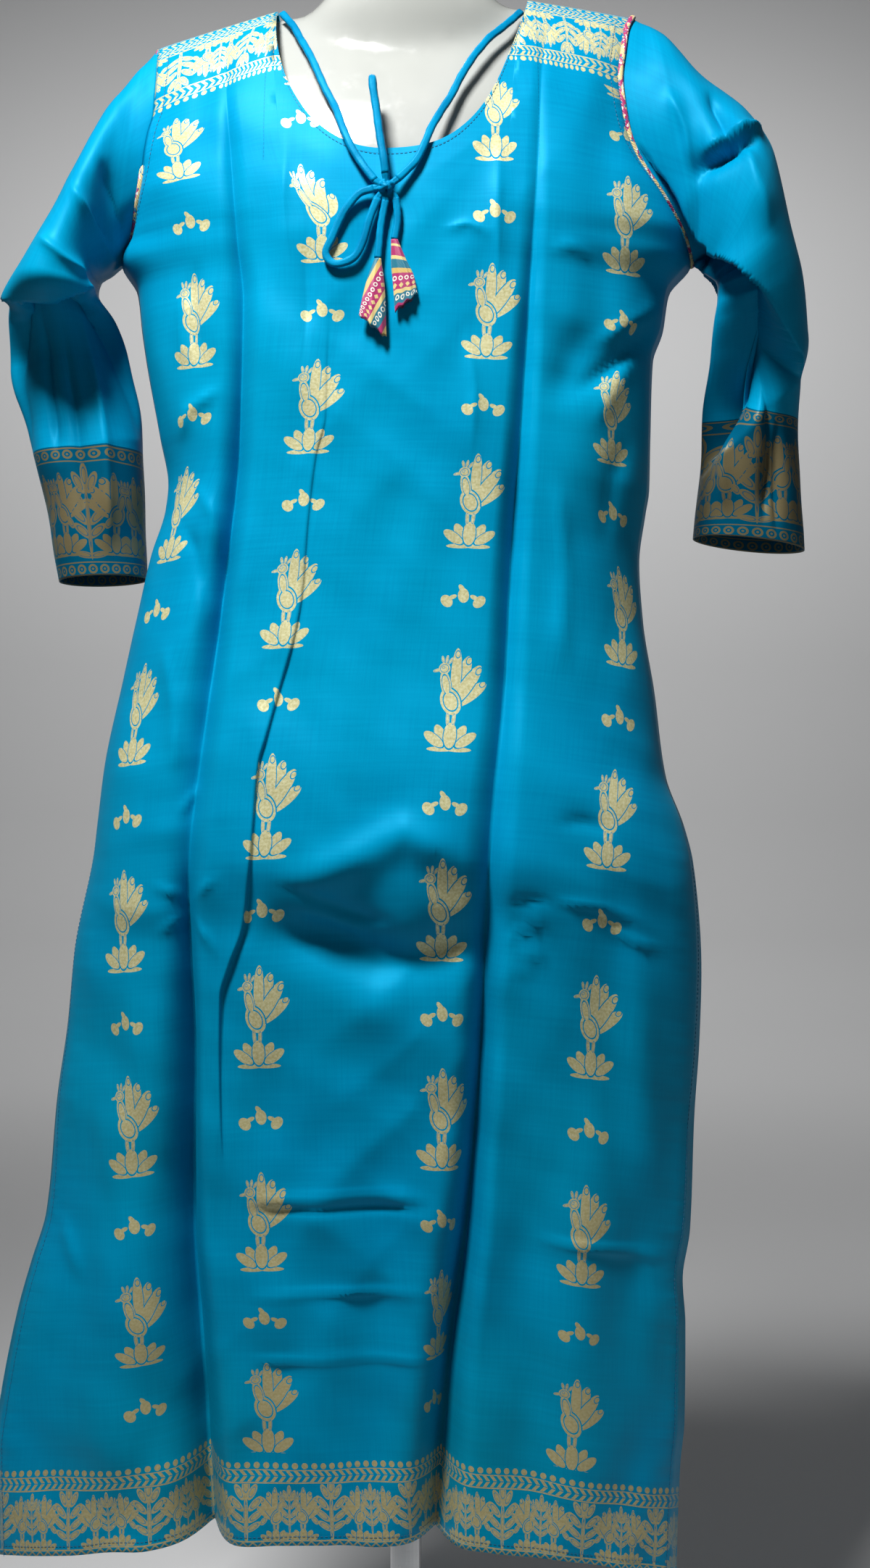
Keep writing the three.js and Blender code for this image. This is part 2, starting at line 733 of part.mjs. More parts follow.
kurti.add(
  tassel(
    "tassel_left",
    [
      [-23, 1258.8, -16, 1258.8, 0.75],
      [-28, 1242, -14.5, 1241, 1],
      [-31.5, 1228, -13.3, 1222, 1],
      [-33.7, 1217, -12.9, 1199, 0.9],
    ],
    -110.4,
    3.6,
  ),
  tassel(
    "tassel_right",
    [
      [-10, 1273, -4, 1273.2, 0.75],
      [-9.5, 1257, 2, 1258, 1],
      [-8, 1239, 8, 1245, 1],
      [-6.5, 1219, 10.5, 1232, 0.9],
    ],
    -110.4,
    3.6,
  ),
);

// ---------------------------------------------------------------- display form
// Rings in the same leaning heights as the cloth, so the shoulders carry the shoulder seams.
const FORM = table(
  ["z", "left", "right", "back", "front"],
  [
    [1485.6, -193, 179, 2, 2],
    [1482.5, -192, 178, 8.5, 8.5],
    [1474, -191, 175, 20, 21],
    [1456, -189, 171, 37, 39],
    [1426, -186, 165, 57, 58],
    [1386, -182, 163, 75, 78],
    [1346, -178, 163, 86, 94],
    [1303, -174, 161, 84, 100],
    [1270, -170, 159, 82, 100],
    [1200, -162, 154, 78, 90],
    [1130, -156, 148, 72, 78],
    [1050, -158, 146, 72, 74],
    [985, -164, 150, 76, 78],
    [920, -174, 156, 88, 86],
    [852, -184, 162, 102, 92],
    [800, -184, 162, 104, 92],
    [745, -176, 156, 96, 86],
  ],
);
const FORM_Z = [745, 760, 800, 852, 920, 985, 1050, 1130, 1200, 1270, 1303, 1346, 1386, 1426, 1456, 1474, 1482.5, 1485.6];
const NECK_X = 3;
const NECK_ROWS = [
  { z: 1370, halfWidth: 100, halfDepth: 30 },
  { z: 1440, halfWidth: 96, halfDepth: 50 },
  { z: 1474, halfWidth: 88, halfDepth: 54 },
  { z: 1487, halfWidth: 79, halfDepth: 54 },
  { z: 1494, halfWidth: 71, halfDepth: 53 },
  { z: 1504, halfWidth: 63, halfDepth: 52 },
  { z: 1522, halfWidth: 57, halfDepth: 53 },
  { z: 1545, halfWidth: 54, halfDepth: 54 },
];
const FORM_SIDES = 36;

function formRing(z, left, right, back, front) {
  return Array.from({ length: FORM_SIDES }, (_, k) => {
    const angle = (2 * Math.PI * k) / FORM_SIDES;
    const x = mix(left, right, (1 - Math.cos(angle)) / 2);
    const y = -(Math.sin(angle) >= 0 ? back : front) * Math.sin(angle);
    return new THREE.Vector3(x, y, z + shoulderLift(x, z));
  });
}
function neckRing({ z, halfWidth, halfDepth }) {
  return Array.from({ length: FORM_SIDES }, (_, k) => {
    const angle = (2 * Math.PI * k) / FORM_SIDES;
    return new THREE.Vector3(NECK_X - halfWidth * Math.cos(angle), -halfDepth * Math.sin(angle), z);
  });
}
const bodyRings = FORM_Z.map((z) =>
  formRing(z, FORM.left(z), FORM.right(z), FORM.back(z), FORM.front(z)),
);
const formBody = closedSolid("body", glossShell, bodyRings);
const formNeck = closedSolid("neck", glossShell, NECK_ROWS.map(neckRing));
const formShell = manifoldOf(formBody.geometry).add(manifoldOf(formNeck.geometry));
kurti.add(namedMesh("form_torso", geometryOf(formShell), glossShell));

const BASE = { radius: 165, height: 20, edge: 4 };
const POLE_R = 12.5;
const turned = new THREE.LatheGeometry(
  [
    new THREE.Vector2(0, 0),
    new THREE.Vector2(BASE.radius, 0),
    new THREE.Vector2(BASE.radius, BASE.height - BASE.edge),
    new THREE.Vector2(BASE.radius - BASE.edge, BASE.height),
    new THREE.Vector2(0, BASE.height),
  ],
  48,
);
turned.rotateX(Math.PI / 2);
kurti.add(namedMesh("form_base", geometryOf(manifoldOf(turned)), paintedBase));

const poleLow = BASE.height + REST_GAP;
const poleHigh = FORM_Z[0] - REST_GAP;
const pole = new THREE.CylinderGeometry(POLE_R, POLE_R, poleHigh - poleLow, 24);
pole.rotateX(Math.PI / 2).translate(0, 0, (poleLow + poleHigh) / 2);
kurti.add(namedMesh("form_pole", geometryOf(manifoldOf(pole)), steel));

export default kurti;
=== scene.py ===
import functools
import math

import bmesh
import bpy
import numpy as np
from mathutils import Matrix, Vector


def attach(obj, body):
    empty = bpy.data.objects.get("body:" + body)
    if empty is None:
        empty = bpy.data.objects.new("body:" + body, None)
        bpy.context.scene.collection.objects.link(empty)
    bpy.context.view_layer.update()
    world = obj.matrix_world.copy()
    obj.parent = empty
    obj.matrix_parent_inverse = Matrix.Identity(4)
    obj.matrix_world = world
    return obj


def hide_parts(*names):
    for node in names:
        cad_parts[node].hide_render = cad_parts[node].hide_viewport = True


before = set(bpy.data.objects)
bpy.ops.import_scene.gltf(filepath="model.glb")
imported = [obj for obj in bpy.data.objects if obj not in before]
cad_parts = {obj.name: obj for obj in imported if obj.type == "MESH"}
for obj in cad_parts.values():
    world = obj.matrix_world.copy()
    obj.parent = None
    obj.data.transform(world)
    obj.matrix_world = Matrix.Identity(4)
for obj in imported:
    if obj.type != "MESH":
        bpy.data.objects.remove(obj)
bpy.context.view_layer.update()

MM = 0.001

# ------------------------------------------------------------ driving sizes, in millimetres
SHOULDER_Z = 1488.0
UNDERARM_Z = 1284.0
SLIT_Z = 852.0
HEM_Z = 287.0
NECK_LEFT = -103.0
NECK_RIGHT = 99.0
NECK_CURVE = 2.5
SILK = 0.5  # wall of the silk as drawn
HEM_WIDTH = 15.0  # turned and stitched edge of the slits
REPEAT_ACROSS = 150.0  # from one column of woven motifs to the next
REPEAT_DOWN = 151.0  # from one tall motif to the next in a column
MOTIF_ROOM = 36.0  # half the width round a column that keeps the weave undistorted
FAR = 400.0  # a distance past any edge
STRIPED_WIDTH = 60.0  # of the border cloth in the tassels
BORDER_STARTS = 13.55  # half repeats down to the border at the hem
BORDER_ENDS = -0.73  # and to the end of the one at the shoulder
BORDER_PITCH = 66.0  # from one tree of the border to the next
BORDER_MIDDLE = 38.0  # from the border's start to the middle of its trees
BEAD_PITCH = 7.4
CUFF_PITCH = 58.0
CUFF_HEIGHT = 106.0
CUFF_ROUND = 232.0  # cloth round a sleeve, as the weave counts it
RING_PITCH = 9.6
STITCH_PITCH = 3.4
STITCH_OUT = 0.45  # how far the thread lies above the middle of the silk
ARMHOLE_STITCH = 11.0  # from the edge of the piece, as the next two
HEM_STITCH = 7.0
NECK_STITCH = 5.0


# ------------------------------------------------------------ tables
def pchip(keys, values, at):
    """A monotone cubic through the keys, held level outside them."""
    keys, values, at = (np.asarray(a, dtype=float) for a in (keys, values, at))
    step = np.diff(keys)
    slope = np.diff(values) / step
    tangent = np.zeros(len(keys))
    tangent[0], tangent[-1] = slope[0], slope[-1]
    for i in range(1, len(slope)):
        if slope[i - 1] * slope[i] > 0:
            a, b = 2 * step[i] + step[i - 1], step[i] + 2 * step[i - 1]
            tangent[i] = (a + b) / (a / slope[i - 1] + b / slope[i])
    x = np.clip(at, keys[0], keys[-1])
    i = np.clip(np.searchsorted(keys, x) - 1, 0, len(slope) - 1)
    h = step[i]
    t = (x - keys[i]) / h
    return (values[i] * (1 + 2 * t) * (1 - t) ** 2 + h * tangent[i] * t * (1 - t) ** 2
            + values[i + 1] * t * t * (3 - 2 * t) + h * tangent[i + 1] * t * t * (t - 1))


class Table:
    """Rows under named columns, read at any value of the first column."""

    def __init__(self, names, rows):
        rows = sorted(rows)
        self.keys = [row[0] for row in rows]
        self.columns = {name: [row[k + 1] for row in rows] for k, name in enumerate(names.split()[1:])}

    def __call__(self, name, at):
        return pchip(self.keys, self.columns[name], at)


def smooth(low, high, x):
    t = np.clip((np.asarray(x, dtype=float) - low) / (high - low), 0, 1)
    return t * t * (3 - 2 * t)


def mix(a, b, t):
    return a + (b - a) * t


def run_along(points, axis=0):
    """The distance run along lines of points, from 0 at the first."""
    step = np.linalg.norm(np.diff(points, axis=axis), axis=-1)
    start = np.zeros_like(np.take(step, [0], axis=axis))
    return np.concatenate([start, np.cumsum(step, axis=axis)], axis=axis)


def uv_of(s, t):
    return np.stack(np.broadcast_arrays(s, t), axis=-1).reshape(-1, 2)


OUTLINE = Table("z left right", [
    (1488, -199, 184), (1466, -198, 176), (1448, -197.5, 173), (1421, -198, 169.5), (1403, -202, 171),
    (1380, -205, 175), (1362, -206.5, 182), (1326, -212, 207), (1300, -219, 224), (1284, -230, 231),
    (1259, -217, 213), (1229, -213.5, 208), (1205, -210, 200), (1146, -199, 198), (1106, -192, 197),
    (1088, -194, 194), (1052, -206, 189), (1009, -216.5, 192), (958, -228.5, 201), (892, -243, 210.5),
    (852, -248, 225.5), (825, -251, 231.5), (747, -267, 236.5), (691, -272, 234.5), (632, -280, 230),
    (545, -287, 226), (507, -298, 220), (474, -307, 222), (400, -321, 221), (367, -325, 217.5),
    (232, -322, 212.5),
])
BACK_DEPTH = Table("z middle left right", [
    (1488, 0, 0, 0), (1484, 17, 9, 9), (1476, 31, 18, 18), (1458, 48, 30, 30), (1428, 68, 42, 42),
    (1386, 86, 48, 48), (1344, 97, 44, 44), (1303, 103, 22, 22), (1284, 104, 0, 0), (1170, 105, 0, 0),
    (1050, 103, 0, 0), (950, 110, 0, 0), (862, 127, 0, 0), (810, 131, 3, 12), (750, 118, 6, 20),
    (600, 108, 14, 28), (450, 106, 32, 34), (230, 104, 46, 40),
])
FRONT_DEPTH = Table("z middle left right", [
    (1488, 0, 0, 0), (1484, 18, 9, 9), (1476, 33, 18, 18), (1458, 50, 30, 30), (1428, 69, 40, 40),
    (1386, 89, 46, 46), (1344, 106, 42, 42), (1303, 117, 21, 21), (1284, 119, 0, 0), (1170, 108, 0, 0),
    (1050, 94, 0, 0), (950, 104, 0, 0), (852, 116, 0, 0), (810, 118, 10, 4), (750, 116, 18, 8),
    (600, 119, 30, 20), (450, 125, 38, 34), (230, 132, 48, 46),
])
# The deep folds: x of the bottom, depth, half-width on the left side and on the right side.
BACK_FOLD_A = Table("z x depth left right", [
    (1488, -142, 0, 8, 8), (1412, -138, 2, 9, 9), (1360, -134, 5, 11, 11), (1277, -128, 10, 14, 14),
    (1236, -124, 13, 16, 15), (1128, -128, 22, 18, 17), (1009, -141, 28, 22, 18), (900, -154, 22, 26, 20),
    (817, -163, 20, 28, 20), (774, -165, 28, 28, 15), (664, -163, 46, 34, 13), (540, -165, 56, 42, 19),
    (400, -156, 60, 46, 26), (230, -147, 64, 50, 32),
])
BACK_FOLD_B = Table("z x depth left right", [
    (1488, 120, 0, 7, 7), (1410, 106, 1.5, 8, 8), (1338, 102, 3, 10, 10), (1257, 97, 7, 12, 12),
    (1135, 89, 13, 15, 15), (1040, 82, 16, 16, 16), (932, 76, 15, 18, 18), (853, 68, 14, 20, 20),
    (796, 64, 18, 22, 20), (666, 59, 32, 26, 20), (537, 49, 42, 30, 22), (430, 35, 48, 34, 26),
    (230, 20, 52, 40, 34),
])
FRONT_FOLD_A = Table("z x depth left right", [
    (1488, -124, 0, 7, 7), (1400, -120, 3, 9, 9), (1330, -116, 12, 12, 12), (1240, -114, 24, 15, 15),
    (1040, -106, 27, 19, 19), (906, -100, 18, 24, 24), (775, -90, 20, 30, 30), (600, -84, 36, 44, 40),
    (400, -78, 52, 56, 56), (230, -70, 64, 62, 62),
])
FRONT_FOLD_B = Table("z x depth left right", [
    (1488, 132, 0, 7, 7), (1400, 129, 3, 9, 9), (1330, 124, 13, 12, 12), (1240, 119, 25, 15, 15),
    (1040, 116, 28, 20, 20), (906, 120, 20, 24, 24), (775, 122, 24, 30, 30), (600, 122, 38, 42, 42),
    (400, 118, 54, 56, 56), (230, 114, 66, 62, 62),
])
# The pressed pleat whose left layer lies on top: x of its edge and how far it stands up.
BACK_PLEAT = Table("z x height", [
    (1240, -56, 0), (1184, -58, 0.8), (1141, -59, 1.2), (1114, -66, 1.6), (1066, -72, 2.0), (1005, -77, 2.4),
    (973, -83, 2.8), (941, -92, 3.2), (899, -103, 3.8), (881, -108, 4.2), (817, -113, 4.8), (786, -116, 5.2),
    (758, -120, 5.6), (729, -131, 5.8), (706, -138, 5.6), (660, -139, 4.6), (610, -138, 3.0), (575, -136, 0),
    (230, -100, 0),
])
FRONT_PLEAT = Table("z x height", [(1240, -30, 0), (800, -14, 0), (230, 8, 0)])
# Where the columns of woven motifs run, and the count of half repeats at each height.
BACK_COLUMNS = Table("z half c0 c1 c2 c3", [
    (1488, -1.97, -178, -79, 70, 174), (1470, -1.58, -178, -79, 70, 174), (1440, -1.09, -178, -79, 70, 174),
    (1416, -0.73, -178, -79, 70, 174), (1372, 0, -178, -79, 70, 174), (1296, 1, -165, -62, 69, 171),
    (1221, 2, -162, -62, 64, 170), (1149, 3, -164, -70, 60, 160), (1078, 4, -178, -76, 52, 162),
    (1005, 5, -194, -87, 45, 170), (927, 6, -208, -95, 37, 166), (848, 7, -214, -101, 31, 156),
    (769, 8, -216, -106, 28, 150), (689, 9, -214, -110, 29, 143), (611, 10, -210, -108, 29, 141),
    (533, 11, -206, -108, 29, 136), (460, 12, -202, -105, 27, 134), (393, 13, -197, -103, 23, 129),
    (351, 13.55, -195, -102, 22, 127), (287, 14.4, -193, -101, 21, 124),
])
FRONT_COLUMNS = Table("z half c0 c1 c2 c3", [
    (1488, -1.97, -176, -72, 66, 176), (1416, -0.73, -176, -72, 66, 176), (1372, 0, -174, -72, 66, 174),
    (1296, 1, -166, -60, 62, 170), (1149, 3, -160, -58, 60, 166), (1005, 5, -170, -52, 60, 160),
    (848, 7, -186, -44, 62, 170), (689, 9, -196, -40, 64, 172), (533, 11, -204, -34, 62, 170),
    (393, 13, -206, -30, 60, 166), (351, 13.55, -206, -29, 60, 165), (287, 14.4, -206, -28, 60, 164),
])
BACK = dict(toward=-1, depth=BACK_DEPTH, a=BACK_FOLD_A, b=BACK_FOLD_B, pleat=BACK_PLEAT,
            columns=BACK_COLUMNS, neck=142.0)
FRONT = dict(toward=1, depth=FRONT_DEPTH, a=FRONT_FOLD_A, b=FRONT_FOLD_B, pleat=FRONT_PLEAT,
             columns=FRONT_COLUMNS, neck=150.0)

# Soft creases: height (a hollow is negative), half-width, share of its ends that fades, path in x, z.
BACK_CREASES = [
    (3, 9, 0.35, [(-138, 1170), (-152, 1162), (-169, 1153), (-177, 1128)]),
    (-3, 8, 0.3, [(-159, 1183), (-162, 1216), (-162, 1249), (-159, 1271)]),
    (2.5, 9, 0.3, [(-169, 1183), (-173, 1216), (-171, 1249)]),
    (4, 12, 0.3, [(216, 1256), (189, 1230), (161, 1211), (142, 1200)]),
    (-5, 13, 0.3, [(213, 1241), (178, 1204), (145, 1175), (125, 1158)]),
    (3, 12, 0.3, [(191, 1216), (167, 1178), (142, 1134)]),
    (-3, 14, 0.4, [(183, 1150), (161, 1106), (153, 1040)]),
    (1.6, 6, 0.4, [(26, 1281), (48, 1288), (70, 1279)]),
    (2, 7, 0.4, [(109, 1268), (128, 1275), (147, 1266)]),
    (-4.5, 17, 0.4, [(136, 1222), (127, 1183), (114, 1145)]),
    (2, 12, 0.4, [(46, 1216), (54, 1161), (51, 1106)]),
    (-11, 23, 0.25, [(-112, 758), (-60, 748), (-20, 733), (6, 731), (40, 744), (66, 764)]),
    (6.5, 18, 0.3, [(-106, 778), (-45, 802), (0, 826), (26, 816), (62, 788)]),
    (2, 26, 0.3, [(-100, 704), (-40, 690), (20, 700)]),
    (-3, 8, 0.35, [(-104, 792), (-70, 781), (-30, 764), (0, 758)]),
    (2.4, 7, 0.35, [(-92, 776), (-52, 762), (-18, 748)]),
    (2.2, 4.5, 0.4, [(74, 744), (96, 762), (112, 790)]),
    (2.0, 4.5, 0.4, [(84, 716), (96, 736), (104, 758)]),
    (2.2, 5, 0.4, [(104, 778), (142, 782), (186, 772)]),
    (-2, 6, 0.4, [(72, 772), (98, 781), (124, 776)]),
    (2.2, 5, 0.4, [(150, 768), (176, 758), (205, 754)]),
    (-2.5, 9, 0.4, [(112, 836), (134, 843), (161, 838)]),
    (2.0, 5, 0.4, [(-150, 868), (-163, 858), (-172, 842)]),
    (2.6, 4.2, 0.6, [(-159, 776), (-174, 787), (-198, 797)]),
    (2.4, 4.2, 0.6, [(-159, 775), (-174, 766), (-192, 752)]),
    (2.2, 4.2, 0.6, [(-161, 777), (-150, 790), (-134, 801)]),
    (2.6, 4.2, 0.6, [(-161, 772), (-150, 752), (-138, 734)]),
    (2.6, 4.5, 0.2, [(-122, 550), (-48, 552), (24, 551)]),
    (-2.2, 5, 0.2, [(-122, 540), (-48, 542), (24, 541)]),
    (2.2, 4, 0.2, [(-122, 476), (-48, 479), (24, 477)]),
    (2.0, 4, 0.2, [(-122, 427), (-48, 430), (24, 428)]),
    (2.4, 4.5, 0.2, [(98, 524), (150, 526), (208, 523)]),
    (2.8, 8, 0.4, [(-274, 551), (-262, 523), (-247, 487)]),
    (3.5, 30, 0.3, [(-64, 644), (-69, 468), (-70, 281)]),
    (-3, 26, 0.3, [(-20, 688), (-15, 496), (-16, 281)]),
    (6, 34, 0.3, [(134, 644), (140, 468), (150, 270)]),
    (-5, 26, 0.3, [(90, 600), (91, 441), (98, 270)]),
    (5, 30, 0.3, [(-210, 716), (-218, 523), (-224, 287)]),
    (-4, 24, 0.3, [(-183, 633), (-188, 468), (-188, 298)]),
    (3, 20, 0.3, [(178, 853), (183, 688), (180, 523)]),
    (2.5, 14, 0.4, [(-89, 1370), (-93, 1293), (-91, 1227)]),
    (-2, 12, 0.4, [(-75, 1293), (-73, 1227), (-76, 1172)]),
    (2.5, 14, 0.4, [(73, 1365), (71, 1293), (73, 1222)]),
    (2.5, 12, 0.4, [(-169, 1106), (-147, 1073), (-139, 1029)]),
    (-3, 12, 0.4, [(-177, 1079), (-161, 1048), (-152, 1002)]),
    (3, 14, 0.3, [(-188, 985), (-177, 930), (-174, 875)]),
    (3, 14, 0.3, [(117, 1106), (123, 1029), (118, 947)]),
]
FRONT_CREASES = [
    (4, 12, 0.3, [(-216, 1256), (-189, 1228), (-152, 1206)]),
    (-4, 12, 0.3, [(-205, 1232), (-172, 1200), (-140, 1170)]),
    (4, 12, 0.3, [(212, 1256), (186, 1228), (150, 1208)]),
    (-4, 12, 0.3, [(202, 1232), (170, 1198), (140, 1168)]),
    (-5, 26, 0.3, [(-110, 790), (0, 806), (110, 792)]),
    (3.5, 22, 0.3, [(-110, 830), (0, 846), (110, 832)]),
    (4, 30, 0.3, [(-150, 640), (-156, 450), (-158, 281)]),
    (4, 30, 0.3, [(20, 640), (24, 450), (28, 281)]),
    (5, 32, 0.3, [(180, 640), (182, 450), (186, 270)]),
    (2.5, 14, 0.4, [(-60, 1340), (-66, 1270), (-62, 1200)]),
    (2.5, 14, 0.4, [(64, 1340), (70, 1270), (66, 1200)]),
]


# ------------------------------------------------------------ camera
def add_camera():
    data = bpy.data.cameras.new("view_camera")
    camera = bpy.data.objects.new("view_camera", data)
    bpy.context.scene.collection.objects.link(camera)
    bpy.context.scene.camera = camera
    data.sensor_fit = "AUTO"
    data.sensor_width = 36
    data.lens = 43.86
    data.dof.use_dof = False
    data.clip_start = 0.05
    camera.location = (0.0236, -1.550, 0.863)
    camera.rotation_euler = (math.pi / 2, 0, 0)


add_camera()


# ------------------------------------------------------------ mesh helpers
def link(obj):
    bpy.context.scene.collection.objects.link(obj)
    return obj


def mesh_object(name, points, faces, uvs=None):
    """An object from points in millimetres, faces and UV maps of one pair per point."""
    mesh = bpy.data.meshes.new(name)
    mesh.from_pydata((np.asarray(points) * MM).tolist(), [], faces)
    corner = np.empty(len(mesh.loops), dtype=np.int32)
    mesh.loops.foreach_get("vertex_index", corner)
    for layer, pairs in (uvs or {}).items():
        mesh.uv_layers.new(name=layer).data.foreach_set("uv", np.asarray(pairs)[corner].ravel() * MM)
    mesh.shade_smooth()
    mesh.validate()
    return link(bpy.data.objects.new(name, mesh))


def face_out(obj):
    work = bmesh.new()
    work.from_mesh(obj.data)
    bmesh.ops.recalc_face_normals(work, faces=work.faces)
    work.to_mesh(obj.data)
    work.free()


def normals_of(grid, closed):
    """Unit normals of a grid of points, rows by columns."""
    if closed:
        across = np.roll(grid, -1, axis=1) - np.roll(grid, 1, axis=1)
    else:
        across = np.gradient(grid, axis=1)
    along = np.gradient(grid, axis=0)
    n = np.cross(across, along)
    return n / np.maximum(np.linalg.norm(n, axis=2, keepdims=True), 1e-9)


def shell(name, grid, uvs, wall=SILK, closed=False):
    """A thin wall about a grid of points, closed all round its edges."""
    rows, columns = grid.shape[:2]
    normal = normals_of(grid, closed)
    points = np.concatenate([(grid + face * normal * wall / 2).reshape(-1, 3) for face in (1, -1)])
    i, j = np.meshgrid(np.arange(rows - 1), np.arange(columns if closed else columns - 1), indexing="ij")
    i, j = i.ravel(), j.ravel()
    right = (j + 1) % columns
    a, b, c, d = i * columns + j, (i + 1) * columns + j, (i + 1) * columns + right, i * columns + right
    inner = rows * columns
    faces = np.concatenate([np.stack([a, b, c, d], 1), np.stack([a, d, c, b], 1) + inner]).tolist()
    ring = list(range(columns))
    ends = list(zip(ring, ring[1:] + ring[:1])) if closed else list(zip(ring, ring[1:]))
    last = (rows - 1) * columns
    for p, q in ends:
        faces.append([p, q, q + inner, p + inner])
        faces.append([last + q, last + p, last + p + inner, last + q + inner])
    if not closed:
        for k in range(rows - 1):
            p, q = k * columns, (k + 1) * columns
            faces.append([q, p, p + inner, q + inner])
            faces.append([p + columns - 1, q + columns - 1, q + columns - 1 + inner, p + columns - 1 + inner])
    doubled = {layer: np.concatenate([pairs, pairs]) for layer, pairs in uvs.items()}
    obj = mesh_object(name, points, faces, doubled)
    face_out(obj)
    return obj


def tube(name, grid, uv, ring=False):
    """A skin round a grid of points: open rows get an end cap each, a ring closes on itself."""
    rows, columns = grid.shape[:2]
    faces = []
    for i in range(rows if ring else rows - 1):
        here, there = i * columns, (i + 1) % rows * columns
        for j in range(columns):
            right = (j + 1) % columns
            faces.append([here + j, there + j, there + right, here + right])
    if not ring:
        faces += [list(range(columns)), [(rows - 1) * columns + j for j in reversed(range(columns))]]
    obj = mesh_object(name, grid.reshape(-1, 3), faces, {"cloth": uv})
    face_out(obj)
    return obj


# ------------------------------------------------------------ the cloth's surface
def shoulder_z(x):
    beside = mix(1487, 1496, smooth(NECK_LEFT, NECK_RIGHT, x))
    return beside - 0.29 * np.maximum(0, NECK_LEFT - x) - 0.15 * np.maximum(0, x - NECK_RIGHT)


def shoulder_lift(x, z):
    return smooth(UNDERARM_Z, 1430, z) * (shoulder_z(x) - SHOULDER_Z)


def fullness(z):
    return mix(1.35, 2, smooth(500, 900, z) - 0.6 * smooth(1280, 1360, z))


def squareness(z):
    return mix(2.8, 2.2, smooth(1150, 1284, z))


def plain_depth(side, x, z):
    left, right = OUTLINE("left", z), OUTLINE("right", z)
    across = np.clip((2 * x - left - right) / (right - left), -1, 1)
    edge = mix(side["depth"]("left", z), side["depth"]("right", z), (across + 1) / 2)
    swell = (1 - np.abs(across) ** squareness(z)) ** (1 / fullness(z))
    return edge + (side["depth"]("middle", z) - edge) * swell


def fold_depth(fold, x, z):
    """How deep the cloth goes in at x: a rounded valley between two straight-hanging flanks."""
    d = x - fold("x", z)
    width = np.where(d < 0, fold("left", z), fold("right", z))
    s = np.sqrt((d / width) ** 2 + 0.0016) - 0.02
    return fold("depth", z) * np.clip(1 - s, 0, 1) ** (2.0 + 0.8 * smooth(850, 700, z))


def to_path(x, z, path):
    """Distance to a path, the share along it of the nearest point, and the side, +1 above it."""
    points = np.asarray(path, dtype=float)
    lengths = np.linalg.norm(np.diff(points, axis=0), axis=1)
    starts = np.concatenate([[0], np.cumsum(lengths)])
    best = np.full(x.shape, 1e9)
    share = np.zeros(x.shape)
    side = np.ones(x.shape)
    for k, length in enumerate(lengths):
        (ax, az), (bx, bz) = points[k], points[k + 1]
        ux, uz = (bx - ax) / length, (bz - az) / length
        t = np.clip((x - ax) * ux + (z - az) * uz, 0, length)
        dx, dz = x - ax - t * ux, z - az - t * uz
        d = np.hypot(dx, dz)
        near = d < best
        best = np.where(near, d, best)
        share = np.where(near, (starts[k] + t) / starts[-1], share)
        side = np.where(near, np.sign(ux * dz - uz * dx), side)
    return best, share, side


def creases(x, z, rows):
    """The height of all the soft creases in a table, at each x, z."""
    height = np.zeros(x.shape)
    for rise, width, fade, path in rows:
        d, share, _ = to_path(x, z, path)
        ends = smooth(0, fade, share) * smooth(0, fade, 1 - share)
        if width < 15:
            shape = 1.5 * np.exp(-2.0 * (np.sqrt((d / width) ** 2 + 0.01) - 0.1))
        else:
            shape = 1.3 * np.exp(-((d / width) ** 2) * 1.4)
        height += rise * ends * shape
    return height


def rumple(x, z, seed):
    """Slight unevenness of hanging cloth, from waves of fixed direction."""
    rng = np.random.default_rng(seed)
    height = np.zeros(np.shape(x))
    for _ in range(26):
        angle = rng.normal(0, 0.55)
        length = rng.uniform(28, 120)
        phase = rng.uniform(0, 2 * math.pi)
        wave = (x * math.cos(angle) + z * math.sin(angle)) * 2 * math.pi / length
        height += 0.0032 * length * np.sin(wave + phase)
    for _ in range(9):
        angle = rng.normal(0.3, 0.9)
        length = rng.uniform(34, 80)
        phase = rng.uniform(0, 2 * math.pi, 3)
        wave = (x * math.cos(angle) + z * math.sin(angle)) * math.pi / length
        bend = 1.6 * np.sin(x / 70 + phase[0]) + 1.3 * np.sin(z / 90 + phase[1])
        patch = smooth(0.2, 1.0, np.sin(x / 61 + phase[2]) * np.sin(z / 97 + phase[0]))
        height += 0.020 * length * patch * (0.64 - np.sqrt(np.sin(wave + bend) ** 2 + 0.004))
    return height


def neck_x(share):
    angle = math.pi * (1 - np.asarray(share, dtype=float))
    across = np.sign(np.cos(angle)) * np.abs(np.cos(angle)) ** (2 / NECK_CURVE)
    return mix(NECK_LEFT, NECK_RIGHT, (across + 1) / 2)


# Columns of a panel: shares of the width between the folds, then their x at any height.
SIDE_COLUMNS, FLANK_COLUMNS, NECK_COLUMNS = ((20, 9, 56))
NECK_STARTS = SIDE_COLUMNS + 2 * FLANK_COLUMNS + 4  # the neckline's first column, from the left edge


def middle_shares(side):
    left = side["a"]("x", SHOULDER_Z) + side["a"]("right", SHOULDER_Z)
    right = side["b"]("x", SHOULDER_Z) - side["b"]("left", SHOULDER_Z)
    necks = neck_x(np.linspace(0, 1, NECK_COLUMNS + 1))
    inner = np.concatenate([
        np.linspace(left, NECK_LEFT, 5)[:-1], necks, np.linspace(NECK_RIGHT, right, 4)[1:]])
    return (inner - left) / (right - left)


